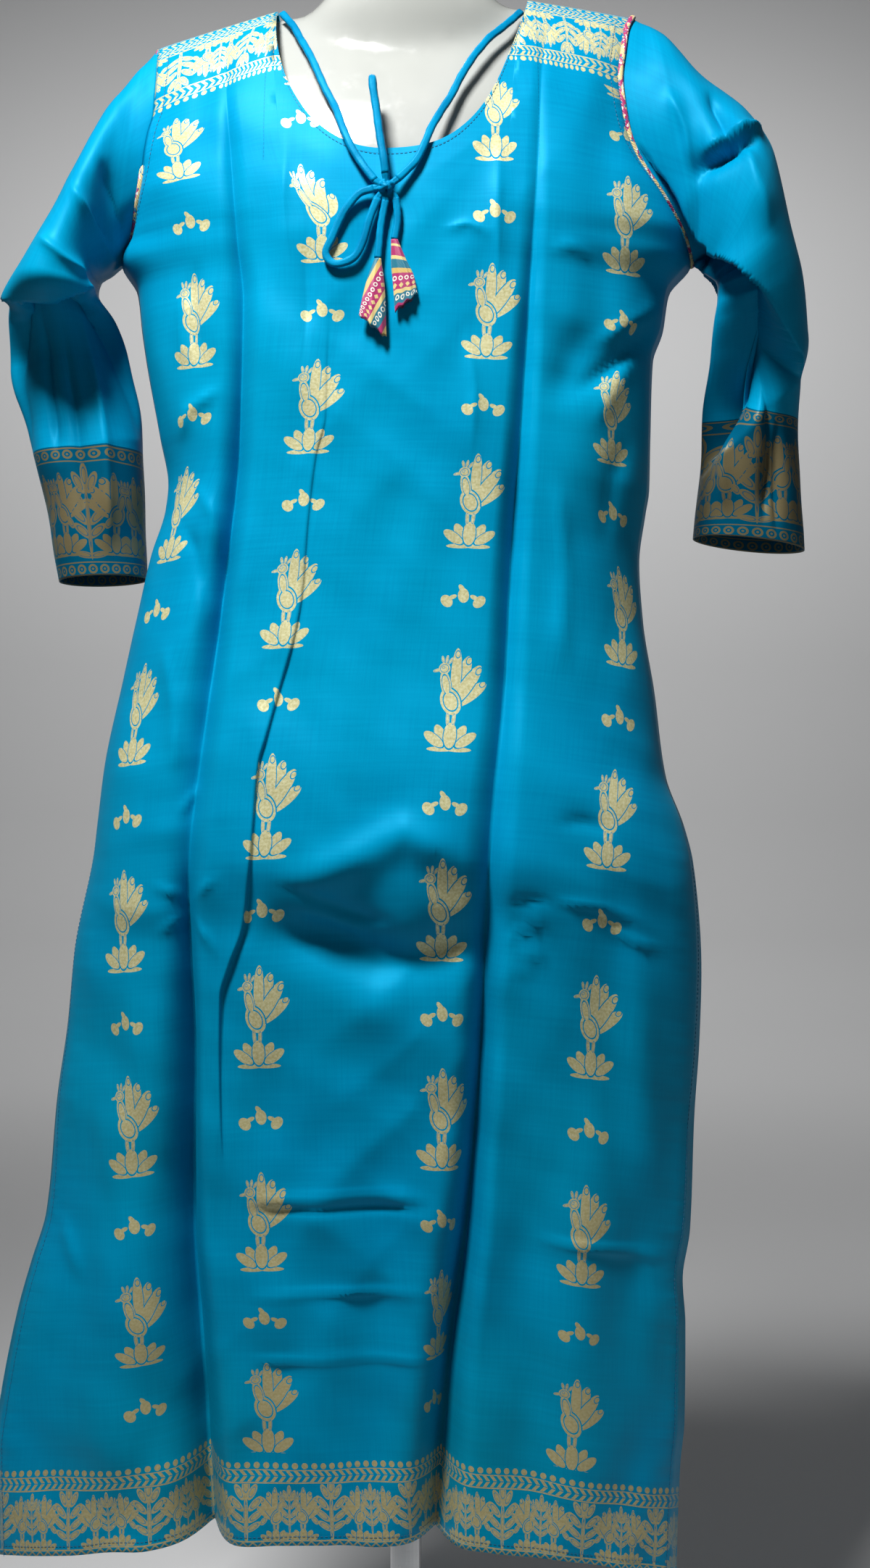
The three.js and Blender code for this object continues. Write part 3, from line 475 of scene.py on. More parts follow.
def column_x(side, z):
    """x of every column at each height in z: rows of heights by columns."""
    z = np.asarray(z, dtype=float)[..., None]
    a, b = side["a"], side["b"]
    left, right = OUTLINE("left", z), OUTLINE("right", z)
    fold_a, fold_b = a("x", z), b("x", z)
    a_left, a_right = fold_a - a("left", z), fold_a + a("right", z)
    b_left, b_right = fold_b - b("left", z), fold_b + b("right", z)
    even = np.linspace(0, 1, SIDE_COLUMNS + 1)[:-1]
    flank = np.linspace(0, 1, FLANK_COLUMNS + 1)[:-1]
    top = middle_shares(side)
    split = 0.34
    pleat = np.clip((side["pleat"]("x", z) - a_right) / (b_left - a_right), 0.03, 0.97)
    low = np.where(top < split, pleat * (1 - np.abs(1 - top / split) ** 1.5),
                   pleat + (1 - pleat) * np.clip((top - split) / (1 - split), 0, 1) ** 1.5)
    share = mix(low, top, smooth(1180, 1300, z))
    return np.concatenate([
        mix(left, a_left, even), mix(a_left, fold_a, 1 - (1 - flank) ** 1.3),
        mix(fold_a, a_right, flank ** 1.3), mix(a_right, b_left, share),
        mix(b_left, fold_b, flank)[..., 1:], mix(fold_b, b_right, flank),
        mix(b_right, right, np.linspace(0, 1, SIDE_COLUMNS + 1)),
    ], axis=-1)


def row_heights():
    fine = 1
    top = SHOULDER_Z - 26 * (np.linspace(0, 1, 16 // fine) ** 1.8)
    return np.concatenate([top, np.linspace(SHOULDER_Z - 30, HEM_Z, 300 // fine)])


def place(side, x, z):
    """The cloth's middle surface at x and height z, with its folds and creases."""
    left, right = OUTLINE("left", z), OUTLINE("right", z)
    across = (2 * x - left - right) / (right - left)
    hang = (SHOULDER_Z - z) / (SHOULDER_Z - HEM_Z)
    drop = np.where(across < 0, 30, 46) * np.abs(across) ** 2.2 * hang * smooth(1250, 900, z)
    depth = plain_depth(side, x, z)
    for name in ("a", "b"):
        depth = depth - fold_depth(side[name], x, z)
    d = x - side["pleat"]("x", z)
    step = side["pleat"]("height", z)
    layer = np.where(d < 0, 0.9 * np.exp(d / 24), -0.35 * np.exp(-d / 10))
    depth = depth + step * layer * np.tanh(np.abs(d) / 0.9)
    table = BACK_CREASES if side is BACK else FRONT_CREASES
    inside = np.clip((1 - np.abs(across)) * 12, 0, 1) * smooth(1488, 1440, z)
    depth = depth + inside * creases(x, z, table)
    depth = depth + inside * (1.0 + 0.5 * smooth(900, 760, z)) * rumple(x, z, 4 if side is BACK else 9)
    to_edge = np.minimum(x - left, right - x)
    pulled = np.abs(np.sin(z / 4.1 + 2.0 * np.sin(z / 23.0))) - 0.5
    past = to_edge - HEM_WIDTH
    turned = 0.5 * smooth(1.2, -0.8, past) - 0.5 * np.exp(-((past / 1.3) ** 2))
    turned = turned + 0.9 * pulled * np.exp(-np.abs(past) / 6.0)
    depth = depth + turned * smooth(SLIT_Z + 4, SLIT_Z - 8, z)
    y = side["toward"] * (0.3 + depth)
    return np.stack([x, y, z + shoulder_lift(x, z) - drop], axis=-1)


def panel_grid(side):
    heights = row_heights()
    count = column_x(side, [SHOULDER_Z]).shape[1]
    tops = np.full(count, SHOULDER_Z)
    shares = np.linspace(0, 1, NECK_COLUMNS + 1)
    drop = np.sin(math.pi * np.clip(shares, 0, 1)) ** (2 / NECK_CURVE)
    drop[0] = drop[-1] = 0
    tops[NECK_STARTS:NECK_STARTS + NECK_COLUMNS + 1] = SHOULDER_Z - side["neck"] * drop
    down = (heights[:, None] - UNDERARM_Z) / (SHOULDER_Z - UNDERARM_Z)
    z = np.where(down > 0, mix(UNDERARM_Z, tops[None, :], down), heights[:, None])
    table = column_x(side, z.ravel()).reshape(z.shape + (count,))
    x = table[:, np.arange(count), np.arange(count)]
    return x, z, tops


def cloth_uvs(side, x, z, tops, grid):
    """UV maps in millimetres: the weave's own, and the distances to the finished edges."""
    run = run_along(grid[..., :2], 1)
    columns = side["columns"]
    u = np.empty_like(x)
    for i in range(len(x)):
        height = float(z[i, 0])
        at = [float(np.interp(columns(name, height), x[i], run[i])) for name in ("c0", "c1", "c2", "c3")]
        knots, values = [at[0] - FAR], [-FAR]
        for k, centre in enumerate(at):
            room = min([MOTIF_ROOM] + [abs(centre - other) / 2.2 for other in at if other != centre])
            knots += [centre - room, centre + room]
            values += [k * REPEAT_ACROSS - room, k * REPEAT_ACROSS + room]
        knots.append(at[3] + FAR)
        values.append(3 * REPEAT_ACROSS + FAR)
        u[i] = np.interp(run[i], knots, values)
    v = columns("half", z) * REPEAT_DOWN / 2
    edge = np.minimum(run, run[:, -1:] - run)
    hem = z - HEM_Z
    down = run_along(grid)
    neck = np.where(tops[None, :] < SHOULDER_Z - 0.5, down, FAR)
    beside = np.hypot(x - np.clip(x, NECK_LEFT, NECK_RIGHT), 0.001)
    over_yoke = (z > SHOULDER_Z - 150) & (tops[None, :] > SHOULDER_Z - 0.5)
    neck = np.minimum(neck, np.where(over_yoke, beside, FAR))
    flat = {"cloth": (u, v), "edge": (edge, hem), "rim": (neck, z)}
    return {name: np.stack([a.ravel(), b.ravel()], axis=1) for name, (a, b) in flat.items()}


def make_panel(name, side):
    x, z, tops = panel_grid(side)
    grid = place(side, x, z)
    panel = shell(name, grid, cloth_uvs(side, x, z, tops, grid))
    return panel, grid, z


# ------------------------------------------------------------ shader nodes as expressions
class Term:
    def __init__(self, socket):
        self.socket = socket

    def __add__(self, other): return math_node("ADD", self, other)
    def __radd__(self, other): return math_node("ADD", self, other)
    def __sub__(self, other): return math_node("SUBTRACT", self, other)
    def __rsub__(self, other): return math_node("SUBTRACT", other, self)
    def __mul__(self, other): return math_node("MULTIPLY", self, other)
    def __rmul__(self, other): return math_node("MULTIPLY", self, other)
    def __truediv__(self, other): return math_node("DIVIDE", self, other)


def feed(tree, value, socket):
    if isinstance(value, Term):
        tree.links.new(value.socket, socket)
    else:
        socket.default_value = value


def math_node(kind, *values, clamp=False):
    tree = next(v.socket.id_data for v in values if isinstance(v, Term))
    node = tree.nodes.new("ShaderNodeMath")
    node.operation = kind
    node.use_clamp = clamp
    for k, value in enumerate(values):
        feed(tree, value, node.inputs[k])
    return Term(node.outputs[0])


def less(a, b): return math_node("LESS_THAN", a, b)
def more(a, b): return math_node("GREATER_THAN", a, b)
def low(*terms): return functools.reduce(lambda a, b: math_node("MINIMUM", a, b), terms)
def high(*terms): return functools.reduce(lambda a, b: math_node("MAXIMUM", a, b), terms)
def size(a): return math_node("ABSOLUTE", a)
def wrap(a, period): return math_node("WRAP", a, period / 2, -period / 2)
def band(a, middle, half): return math_node("COMPARE", a, middle, half)
def ramp(a, start, end): return math_node("DIVIDE", a - start, end - start, clamp=True)


def vector(tree, x, y, z=0.0):
    node = tree.nodes.new("ShaderNodeCombineXYZ")
    for k, value in enumerate((x, y, z)):
        feed(tree, value, node.inputs[k])
    return Term(node.outputs[0])


def dot(a, constant):
    tree = a.socket.id_data
    node = tree.nodes.new("ShaderNodeVectorMath")
    node.operation = "DOT_PRODUCT"
    tree.links.new(a.socket, node.inputs[0])
    node.inputs[1].default_value = constant
    return Term(node.outputs["Value"])


def group(name, inputs, outputs, build):
    """A shader node group: inputs and outputs as {name: socket type}, filled by build(tree, terms)."""
    tree = bpy.data.node_groups.new(name, "ShaderNodeTree")
    kinds = {"f": "NodeSocketFloat", "c": "NodeSocketColor"}
    for key, kind in inputs.items():
        tree.interface.new_socket(key, in_out="INPUT", socket_type=kinds[kind])
    for key, kind in outputs.items():
        tree.interface.new_socket(key, in_out="OUTPUT", socket_type=kinds[kind])
    source = tree.nodes.new("NodeGroupInput")
    sink = tree.nodes.new("NodeGroupOutput")
    made = build(tree, {key: Term(source.outputs[key]) for key in inputs})
    for key, value in made.items():
        tree.links.new(value.socket, sink.inputs[key])
    return tree


def use(tree, which, **values):
    """A group's node in a tree, with its inputs fed. Returns its outputs as terms."""
    node = tree.nodes.new("ShaderNodeGroup")
    node.node_tree = which
    for key, value in values.items():
        feed(tree, value, node.inputs[key])
    return {output.name: Term(output) for output in node.outputs}


def blend(tree, factor, a, b):
    node = tree.nodes.new("ShaderNodeMix")
    node.data_type = "RGBA"
    feed(tree, factor, node.inputs["Factor"])
    for value, socket in ((a, node.inputs[6]), (b, node.inputs[7])):
        if isinstance(value, Term):
            tree.links.new(value.socket, socket)
        else:
            socket.default_value = (*value, 1)
    return Term(node.outputs[2])


def noise(tree, coordinates, scale, detail=2.0, rough=0.5):
    node = tree.nodes.new("ShaderNodeTexNoise")
    feed(tree, coordinates, node.inputs["Vector"])
    node.inputs["Scale"].default_value = scale
    node.inputs["Detail"].default_value = detail
    node.inputs["Roughness"].default_value = rough
    return Term(node.outputs["Fac"])


def surface(tree, shader, colour, height, strength, distance, roughness=None):
    """Colour, bump and, if given, roughness of a material from terms."""
    feed(tree, colour, shader.inputs["Base Color"])
    if roughness is not None:
        feed(tree, roughness, shader.inputs["Roughness"])
    node = tree.nodes.new("ShaderNodeBump")
    node.inputs["Strength"].default_value = strength
    node.inputs["Distance"].default_value = distance
    feed(tree, height, node.inputs["Height"])
    tree.links.new(node.outputs["Normal"], shader.inputs["Normal"])


def object_place(tree):
    return Term(tree.nodes.new("ShaderNodeTexCoord").outputs["Object"])


def ovals(point, rows):
    """The least scaled distance to the middle of one of the ovals, squared: 1 on an oval's edge."""
    least = None
    for x, y, rx, ry, degrees in rows:
        c, s = math.cos(math.radians(degrees)), math.sin(math.radians(degrees))
        a = dot(point, (c / rx, s / rx, -(x * c + y * s) / rx))
        b = dot(point, (-s / ry, c / ry, (x * s - y * c) / ry))
        q = math_node("MULTIPLY_ADD", b, b, a * a)
        least = q if least is None else low(least, q)
    return least


# ------------------------------------------------------------ woven motifs, in millimetres
# Rows of ovals: x, y, half-width, half-height, turn in degrees.
PEACOCK = [
    (-1.5, -6, 6.6, 9.4, 28), (-5.6, 5, 3.5, 9.5, 16), (-7.6, 15.5, 3.9, 3.7, 0),
    (-12.2, 14.2, 3.0, 1.1, 14), (-6.4, 21.6, 1.0, 2.6, -6), (-9.2, 21.4, 1.0, 2.4, 16),
    (-3.8, 20.6, 1.0, 2.4, -30), (-2.4, -17.5, 1.3, 5, 4), (1.6, -17.5, 1.3, 5, -4),
]
FEATHERS_BEHIND = [(4.6, 8.5, 4.6, 16, -14), (11.2, -1, 4.2, 13, -52)]
FEATHERS_BEFORE = [(8.2, 4.5, 4.6, 16, -32), (0.8, 12, 3.6, 17, 2)]
EYES = [
    (8.6, 21, 1.9, 2.6, -14), (15.8, 14.5, 1.9, 2.6, -32), (19.2, 6.2, 1.7, 2.3, -52),
    (0.6, 25, 1.6, 2.4, 2), (-8.4, 16.2, 0.9, 0.9, 0),
]
PETALS_BEFORE = [(0, -28.5, 4.6, 8.6, 0), (10.6, -31, 3.4, 8.2, -56)]
PETALS_BEHIND = [(5.6, -29.2, 3.6, 8.8, -30), (6.0, -37.2, 9, 1.6, 0)]
DROP = [(0, 1.4, 3.9, 5.2, 12), (-1.6, 6.4, 1.7, 3.4, 38)]
DROPS_BESIDE = [(11.6, -2.8, 3.7, 4.9, -46), (7.6, 0.2, 3.0, 1.5, -22)]
TREE = [
    (0, -4, 1.5, 19, 0), (5.0, -9, 2.2, 6.2, -58), (6.6, -1.5, 2.4, 7.0, -52), (6.6, 7.0, 2.5, 6.8, -44),
    (4.6, 14.8, 2.5, 6.0, -30), (0, 18.6, 2.8, 6.4, 0), (11.6, 3.4, 1.9, 3.6, -20),
    (12.4, -5.0, 1.8, 3.4, -40), (5.0, -20.5, 6.5, 1.6, 8),
]


def build_figures(tree, given):
    """The tall motif: a peacock with its tail raised, on an open flower."""
    x, y = given["x"], given["y"]
    whole = vector(tree, x, y, 1.0)
    folded = vector(tree, size(x), y, 1.0)
    body, eyes = ovals(whole, PEACOCK), ovals(whole, EYES)
    behind, before = ovals(whole, FEATHERS_BEHIND), ovals(whole, FEATHERS_BEFORE)
    petals, under = ovals(folded, PETALS_BEFORE), ovals(folded, PETALS_BEHIND)
    near = low(body, behind, before, petals, under)
    lines = band(before, 1.0, 0.16) * less(behind, 1.3) * more(body, 1.0)
    lines = high(lines, band(body, 1.06, 0.15) * less(low(behind, before), 1.0))
    lines = high(lines, band(petals, 1.0, 0.15) * less(under, 1.3), band(body, 0.50, 0.08))
    return {"Mask": less(near, 1.0) * (1.0 - lines) * (1.0 - band(eyes, 1.0, 0.32))}


def build_drops(tree, given):
    """Three leaves, the small motif."""
    x, y = given["x"], given["y"]
    near = low(ovals(vector(tree, x, y, 1.0), DROP), ovals(vector(tree, size(x), y, 1.0), DROPS_BESIDE))
    return {"Mask": less(near, 1.0)}


def build_tree(tree, given):
    near = ovals(vector(tree, size(given["x"]), given["y"], 1.0), TREE)
    return {"Mask": less(near, 1.0) * (1.0 - band(near, 0.40, 0.09) * 0.8)}


FIGURES = group("tall_motif", {"x": "f", "y": "f"}, {"Mask": "f"}, build_figures)
DROPS = group("leaf_motif", {"x": "f", "y": "f"}, {"Mask": "f"}, build_drops)
TREES = group("tree_motif", {"x": "f", "y": "f"}, {"Mask": "f"}, build_tree)


def rings(x, y, pitch, radius, width):
    """A row of small rings about y 0."""
    a = wrap(x, pitch)
    r = math_node("SQRT", a * a + y * y)
    return band(r, radius, width)


def dots(x, y, pitch, radius):
    a = wrap(x, pitch)
    return less(a * a + y * y, radius * radius)


def herringbone(x, y, pitch):
    """A row of slanting leaves on both sides of y 0."""
    a = wrap(x + size(y) * 0.85, pitch)
    return less(size(a), pitch * 0.24) * band(size(y), 2.3, 1.95)


def build_panel_weave(tree, given):
    """The gold of a panel: field motifs, and the border at both ends of the cloth."""
    u, v = given["u"], given["v"]
    half = REPEAT_DOWN / 2
    column = math_node("ROUND", u / REPEAT_ACROSS)
    odd = size(wrap(column, 2.0))
    planned = less(size(column - 1.5), 1.9)
    x = u - column * REPEAT_ACROSS
    fall = v + odd * half
    b = high(v - BORDER_STARTS * half, BORDER_ENDS * half - v)
    field = less(b, -7.0) * planned
    border = more(b, -1.0)
    # in the border the tall motif stands small on both sides of a tree
    pair = size(wrap(u, BORDER_PITCH)) - 22.5
    tall = use(tree, FIGURES, x=x * field * 0.90 - (1.0 - field) * pair * 1.52,
               y=(1.0 - field) * (BORDER_MIDDLE - b) * 1.52
               - wrap(fall, 2 * half) * field * 0.90 - 5.0 * field)["Mask"]
    drops = use(tree, DROPS, x=x * 0.94, y=0.0 - wrap(fall + half, 2 * half) * 0.94)["Mask"] * field
    trees = use(tree, TREES, x=wrap(u, BORDER_PITCH) * 0.92, y=(39.0 - b) * 0.90)["Mask"]
    sprigs = use(tree, TREES, x=wrap(u + BORDER_PITCH / 2, BORDER_PITCH) * 1.7,
                 y=(BORDER_MIDDLE - b) * 1.20)["Mask"]
    main = band(b, BORDER_MIDDLE, 21.5)
    tall = tall * high(field, main)
    beads = dots(u, b - 2.6, BEAD_PITCH, 2.35)
    herring = herringbone(u, b - 10.6, 6.0)
    lines = high(band(b, 6.0, 0.35), band(b, 15.6, 0.5), band(b, 60.2, 0.55), band(b, 65.6, 0.7))
    zigzag = band(size(wrap(u, BEAD_PITCH)) * 0.95 + b, 64.4, 0.8)
    outer = high(herringbone(u, b - 71.5, 4.4), dots(u, b - 79.6, BEAD_PITCH, 2.35), band(b, 84.5, 0.7))
    edge = high(beads, herring, lines, zigzag, outer) * border
    return {"Mask": high(tall, drops, edge, high(trees, sprigs) * main), "Border": border}


def build_cuff_weave(tree, given):
    """The gold of a sleeve: u round it, v up from its open end."""
    u, v = given["u"], given["v"]
    main = band(v, 52.0, 40.0)
    rows = high(rings(u, v - 99.0, RING_PITCH, 3.0, 0.8), rings(u, v - 5.4, RING_PITCH, 3.0, 0.8))
    specks = high(dots(u, v - 99.0, RING_PITCH, 0.9), dots(u, v - 5.4, RING_PITCH, 0.9))
    lines = high(band(v, 93.2, 0.5), band(v, 104.0, 0.6), band(v, 10.8, 0.5), band(v, 0.7, 0.6))
    border = less(v, CUFF_HEIGHT)
    pair = size(wrap(u, CUFF_PITCH)) - 20.0
    tall = use(tree, FIGURES, x=pair * -1.05, y=v - 55.0)["Mask"] * main
    trees = use(tree, TREES, x=wrap(u, CUFF_PITCH) * 0.85, y=(v - 51.0) * 0.60)["Mask"] * main
    woven = high(rows, specks, lines, trees, tall)
    return {"Mask": woven * border, "Border": border}


PANEL_WEAVE = group("panel_weave", {"u": "f", "v": "f"}, {"Mask": "f", "Border": "f"}, build_panel_weave)
CUFF_WEAVE = group("sleeve_weave", {"u": "f", "v": "f"}, {"Mask": "f", "Border": "f"}, build_cuff_weave)


def build_silk(tree, given):
    """Shot silk with gold in it: colours, roughness, metalness and the height for a bump."""
    where = object_place(tree)
    mask, u, v = given["Gold"], given["u"], given["v"]
    broad = noise(tree, where, 5.0, 2.0)
    slub_at = vector(tree, u * 0.010, v * 0.32, 0.0)
    slubs = noise(tree, slub_at, 1.0, 3.0, 0.6)
    warp = noise(tree, vector(tree, u * 0.9, v * 0.02, 3.0), 1.0, 2.0)
    tone = ramp(broad, 0.3, 0.7)
    blue = blend(tree, tone, (0.000, 0.225, 0.430), (0.000, 0.262, 0.455))
    blue = blend(tree, given["Green"], blue, (0.002, 0.235, 0.285))
    blue = blend(tree, ramp(slubs, 0.35, 0.75) * 0.25, blue, (0.000, 0.340, 0.570))
    blue = blend(tree, ramp(warp, 0.4, 0.7) * 0.12, blue, (0.0, 0.10, 0.25))
    gold = blend(tree, ramp(noise(tree, vector(tree, u * 0.5, v * 0.5, 0.0), 1.0, 3.0), 0.35, 0.7),
                 (0.53, 0.48, 0.22), (0.75, 0.71, 0.42))
    # painted shade: Dull mixes the gold towards dark brown, as if it lay in shade
    gold = blend(tree, given["Dull"], gold, (0.36, 0.26, 0.10))
    twill = math_node("SINE", (u + v * 0.6) * (2 * math.pi / 1.15))
    gold = blend(tree, ramp(twill, -0.2, 0.9) * 0.22, gold, (0.10, 0.20, 0.22))
    across, along = (math_node("SINE", a * (2 * math.pi / pitch)) for a, pitch in ((v, 0.55), (u, 0.6)))
    weave = across * 0.5 + along * 0.35
    height = weave * 0.03 + slubs * 0.16 + given["Pucker"]
    return {
        "Color": blend(tree, mask, blue, gold),
        "Roughness": 0.40 + slubs * 0.10 - mask * 0.04,
        "Metallic": mask * 0.16,
        "Height": height,
    }


SILK_LOOK = group("shot_silk", {"u": "f", "v": "f", "Gold": "f", "Green": "f", "Dull": "f", "Pucker": "f"},
                  {"Color": "c", "Roughness": "f", "Metallic": "f", "Height": "f"}, build_silk)


def material(name, colour, roughness=0.5, metallic=0.0, sheen=0.0, coat=0.0):
    """A material with one Principled shader. Returns it with its tree and shader."""
    made = bpy.data.materials.new(name)
    made.use_nodes = True
    tree = made.node_tree
    shader = tree.nodes["Principled BSDF"]
    shader.inputs["Base Color"].default_value = (*colour, 1)
    shader.inputs["Roughness"].default_value = roughness
    shader.inputs["Metallic"].default_value = metallic
    shader.inputs["Sheen Weight"].default_value = sheen
    shader.inputs["Coat Weight"].default_value = coat
    made.diffuse_color = (*colour, 1)
    return made, tree, shader


def uv_pair(tree, layer):
    """A UV map's two numbers, in millimetres."""
    node = tree.nodes.new("ShaderNodeUVMap")
    node.uv_map = layer
    split = tree.nodes.new("ShaderNodeSeparateXYZ")
    tree.links.new(node.outputs["UV"], split.inputs["Vector"])
    return Term(split.outputs["X"]) * 1000.0, Term(split.outputs["Y"]) * 1000.0


SILK_SHINE = (0.0, 0.55, 0.90, 1)


def finish_silk(tree, shader, look, sheen=0.06):
    surface(tree, shader, look["Color"], look["Height"], 0.55, 0.0006, look["Roughness"])
    feed(tree, look["Metallic"], shader.inputs["Metallic"])
    shader.inputs["Sheen Weight"].default_value = sheen
    shader.inputs["Sheen Roughness"].default_value = 0.35
    shader.inputs["Sheen Tint"].default_value = (0.0, 0.55, 0.85, 1)
    shader.inputs["Specular IOR Level"].default_value = 0.30
    shader.inputs["Specular Tint"].default_value = SILK_SHINE
    shader.inputs["Anisotropic"].default_value = 0.35


def panel_material():
    made, tree, shader = material("woven_silk", (0.0, 0.18, 0.39), 0.42)
    u, v = uv_pair(tree, "cloth")
    side, hem = uv_pair(tree, "edge")
    rim, height = uv_pair(tree, "rim")
    woven = use(tree, PANEL_WEAVE, u=u, v=v)
    below = less(height, SLIT_Z)
    slit = below * less(side, HEM_WIDTH)
    stitch_line = band(side, HEM_WIDTH, 0.55) * below
    dashes = more(wrap(height, STITCH_PITCH), -0.9)
    neck_stitch = band(rim, 4.5, 0.35)
    seam_stitch = band(side, ARMHOLE_STITCH, 0.4) * more(height, UNDERARM_Z)
    ripple = noise(tree, vector(tree, side * 0.03, height * 0.13, 0.0), 1.0, 2.0)
    pull = math_node("EXPONENT", size(side - HEM_WIDTH) * -0.12) * below
    arms = math_node("EXPONENT", size(side - 8.0) * -0.10) * more(height, UNDERARM_Z - 60.0)
    lower = math_node("EXPONENT", size(hem - 4.0) * -0.10)
    pucker = (pull + arms * 0.7 + lower * 0.5) * (ripple - 0.5) * 3.0 - stitch_line * 0.9 - neck_stitch * 0.6
    gold = woven["Mask"] * (1.0 - slit * 0.35)
    # painted shade: the gold is painted darker brown towards the hem, growing from 760 mm down to 430 mm
    far = ramp(height, 760.0, 430.0)
    green = ramp(noise(tree, vector(tree, side * 0.004, height * 0.0035, 1.7), 1.0, 1.0), 0.45, 0.8) * far
    look = use(tree, SILK_LOOK, u=u, v=v, Gold=gold, Green=green * 0.6, Dull=far * 0.55, Pucker=pucker)
    thread = high(stitch_line, neck_stitch, seam_stitch) * dashes
    look["Color"] = blend(tree, thread * 0.35, look["Color"], (0.0, 0.06, 0.16))
    finish_silk(tree, shader, look)
    return made


def sleeve_material():
    made, tree, shader = material("sleeve_silk", (0.0, 0.18, 0.39), 0.42)
    u, v = uv_pair(tree, "cloth")
    woven = use(tree, CUFF_WEAVE, u=u, v=v)
    ripple = noise(tree, vector(tree, u * 0.13, v * 0.03, 0.0), 1.0, 2.0)
    end = math_node("EXPONENT", size(v - 5.0) * -0.10)
    # painted shade: all of the sleeve's gold is painted dark brown
    look = use(tree, SILK_LOOK, u=u, v=v, Gold=woven["Mask"], Green=0.0, Dull=0.9,
               Pucker=end * (ripple - 0.5) * 2.0)
    # painted shade: the cuff band is darkened to a deep blue ground with dim brown gold
    painted_cuff_shade = blend(tree, woven["Mask"], (0.0, 0.058, 0.112), (0.150, 0.122, 0.062))
    look["Color"] = blend(tree, woven["Border"] * 0.9, look["Color"], painted_cuff_shade)
    finish_silk(tree, shader, look)
    return made


def tie_material():
    made, tree, shader = material("tie_silk", (0.0, 0.20, 0.42), 0.45)
    shader.inputs["Specular IOR Level"].default_value = 0.35
    shader.inputs["Specular Tint"].default_value = SILK_SHINE
    where = object_place(tree)
    grain = noise(tree, where, 900.0, 2.0)
    patch = noise(tree, where, 60.0, 2.0)
    colour = blend(tree, ramp(patch, 0.35, 0.7), (0.0, 0.15, 0.31), (0.0, 0.22, 0.42))
    surface(tree, shader, colour, grain * 0.3 + patch * 0.8, 0.5, 0.0008)
    return made


WINE, STRAW, AMBER, TEAL = (0.36, 0.012, 0.11), (0.70, 0.55, 0.22), (0.62, 0.42, 0.12), (0.003, 0.16, 0.24)
STRIPES = [  # end of each band along a tassel in thirteenths, with its colour
    (1.0, AMBER), (2.2, WINE), (2.6, STRAW), (4.2, WINE), (4.8, STRAW), (6.2, TEAL), (7.0, AMBER),
    (9.4, (0.40, 0.016, 0.13)), (10.0, STRAW), (11.4, TEAL), (12.2, WINE), (13.0, AMBER),
]


def build_striped(tree, given):
    """Bands of a border cloth across t, with a row of small rings and a row of diamonds along s."""
    t, s = given["t"], given["s"]
    colour = None
    for end, tint in reversed(STRIPES):
        colour = blend(tree, less(t, end / 13), colour, tint) if colour else blend(tree, 1.0, tint, tint)
    ring = rings(s, (t - 0.60) * STRIPED_WIDTH, 4.6, 1.3, 0.42)
    ring = high(ring, rings(s + 2.3, (t - 0.815) * STRIPED_WIDTH, 4.6, 1.3, 0.42))
    diamond = less(size(wrap(s, 5.2)) + size((t - 0.68) * STRIPED_WIDTH), 1.9)
    colour = blend(tree, diamond, colour, STRAW)
    colour = blend(tree, ring, colour, (0.80, 0.77, 0.66))
    thread = math_node("SINE", (s + t * 20.0) * 9.0)
    colour = blend(tree, ramp(thread, 0.0, 1.0) * 0.18, colour, (0.02, 0.02, 0.03))
    return {"Color": colour, "Height": thread * 0.2 + ring * 0.5 + diamond * 0.3}


STRIPED = group("striped_border", {"t": "f", "s": "f"}, {"Color": "c", "Height": "f"}, build_striped)


def tassel_material():
    made, tree, shader = material("tassel_cloth", (0.4, 0.1, 0.15), 0.5, sheen=0.2)
    s, t = uv_pair(tree, "cloth")
    look = use(tree, STRIPED, t=t / STRIPED_WIDTH, s=s)
    surface(tree, shader, look["Color"], look["Height"], 0.5, 0.0006)
    return made


def piping_material():
    """A narrow fold of the same striped cloth: broken dashes of its colours along the cord."""
    made, tree, shader = material("piping_cloth", (0.4, 0.1, 0.2), 0.5, sheen=0.2)
    s, t = uv_pair(tree, "cloth")
    a = noise(tree, vector(tree, s * 0.16, t * 0.10, 0.0), 1.0, 1.0)
    b = noise(tree, vector(tree, s * 0.30, t * 0.25, 4.0), 1.0, 1.0)
    colour = blend(tree, more(a, 0.52), WINE, (0.66, 0.50, 0.22))
    colour = blend(tree, more(b, 0.62), colour, (0.72, 0.72, 0.66))
    colour = blend(tree, less(b, 0.36), colour, (0.003, 0.16, 0.28))
    twist = math_node("SINE", (s + t * 0.8) * 3.2)
    surface(tree, shader, colour, twist * 0.3 + a, 0.5, 0.0006)
    return made


def form_material():
    made, tree, shader = material("gloss_shell", (0.80, 0.79, 0.76), 0.16, coat=0.5)
    shader.inputs["Coat Roughness"].default_value = 0.06
    where = object_place(tree)
    cloud = noise(tree, where, 9.0, 3.0)
    scuff = noise(tree, where, 70.0, 4.0, 0.7)
    colour = blend(tree, ramp(cloud, 0.35, 0.7), (0.36, 0.37, 0.345), (0.42, 0.425, 0.40))
    colour = blend(tree, ramp(scuff, 0.62, 0.8) * 0.15, colour, (0.34, 0.33, 0.31))
    surface(tree, shader, colour, cloud, 0.05, 0.002, 0.14 + ramp(scuff, 0.5, 0.9) * 0.2)
    return made


def metal_material(name, colour, roughness, brushed):
    made, tree, shader = material(name, colour, roughness, 1.0 if brushed else 0.0)
    where = object_place(tree)
    split = tree.nodes.new("ShaderNodeSeparateXYZ")
    tree.links.new(where.socket, split.inputs["Vector"])
    x, y, z = (Term(split.outputs[k]) for k in "XYZ")
    if brushed:
        lines = noise(tree, vector(tree, x * 60.0, y * 60.0, z * 900.0), 1.0, 2.0)
    else:
        lines = noise(tree, where, 420.0, 3.0)
    wear = noise(tree, where, 14.0, 3.0)
    tint = blend(tree, ramp(wear, 0.35, 0.75), colour, tuple(c * 0.82 for c in colour))
    surface(tree, shader, tint, lines, 0.15, 0.0004, roughness + lines * 0.16)
    return made


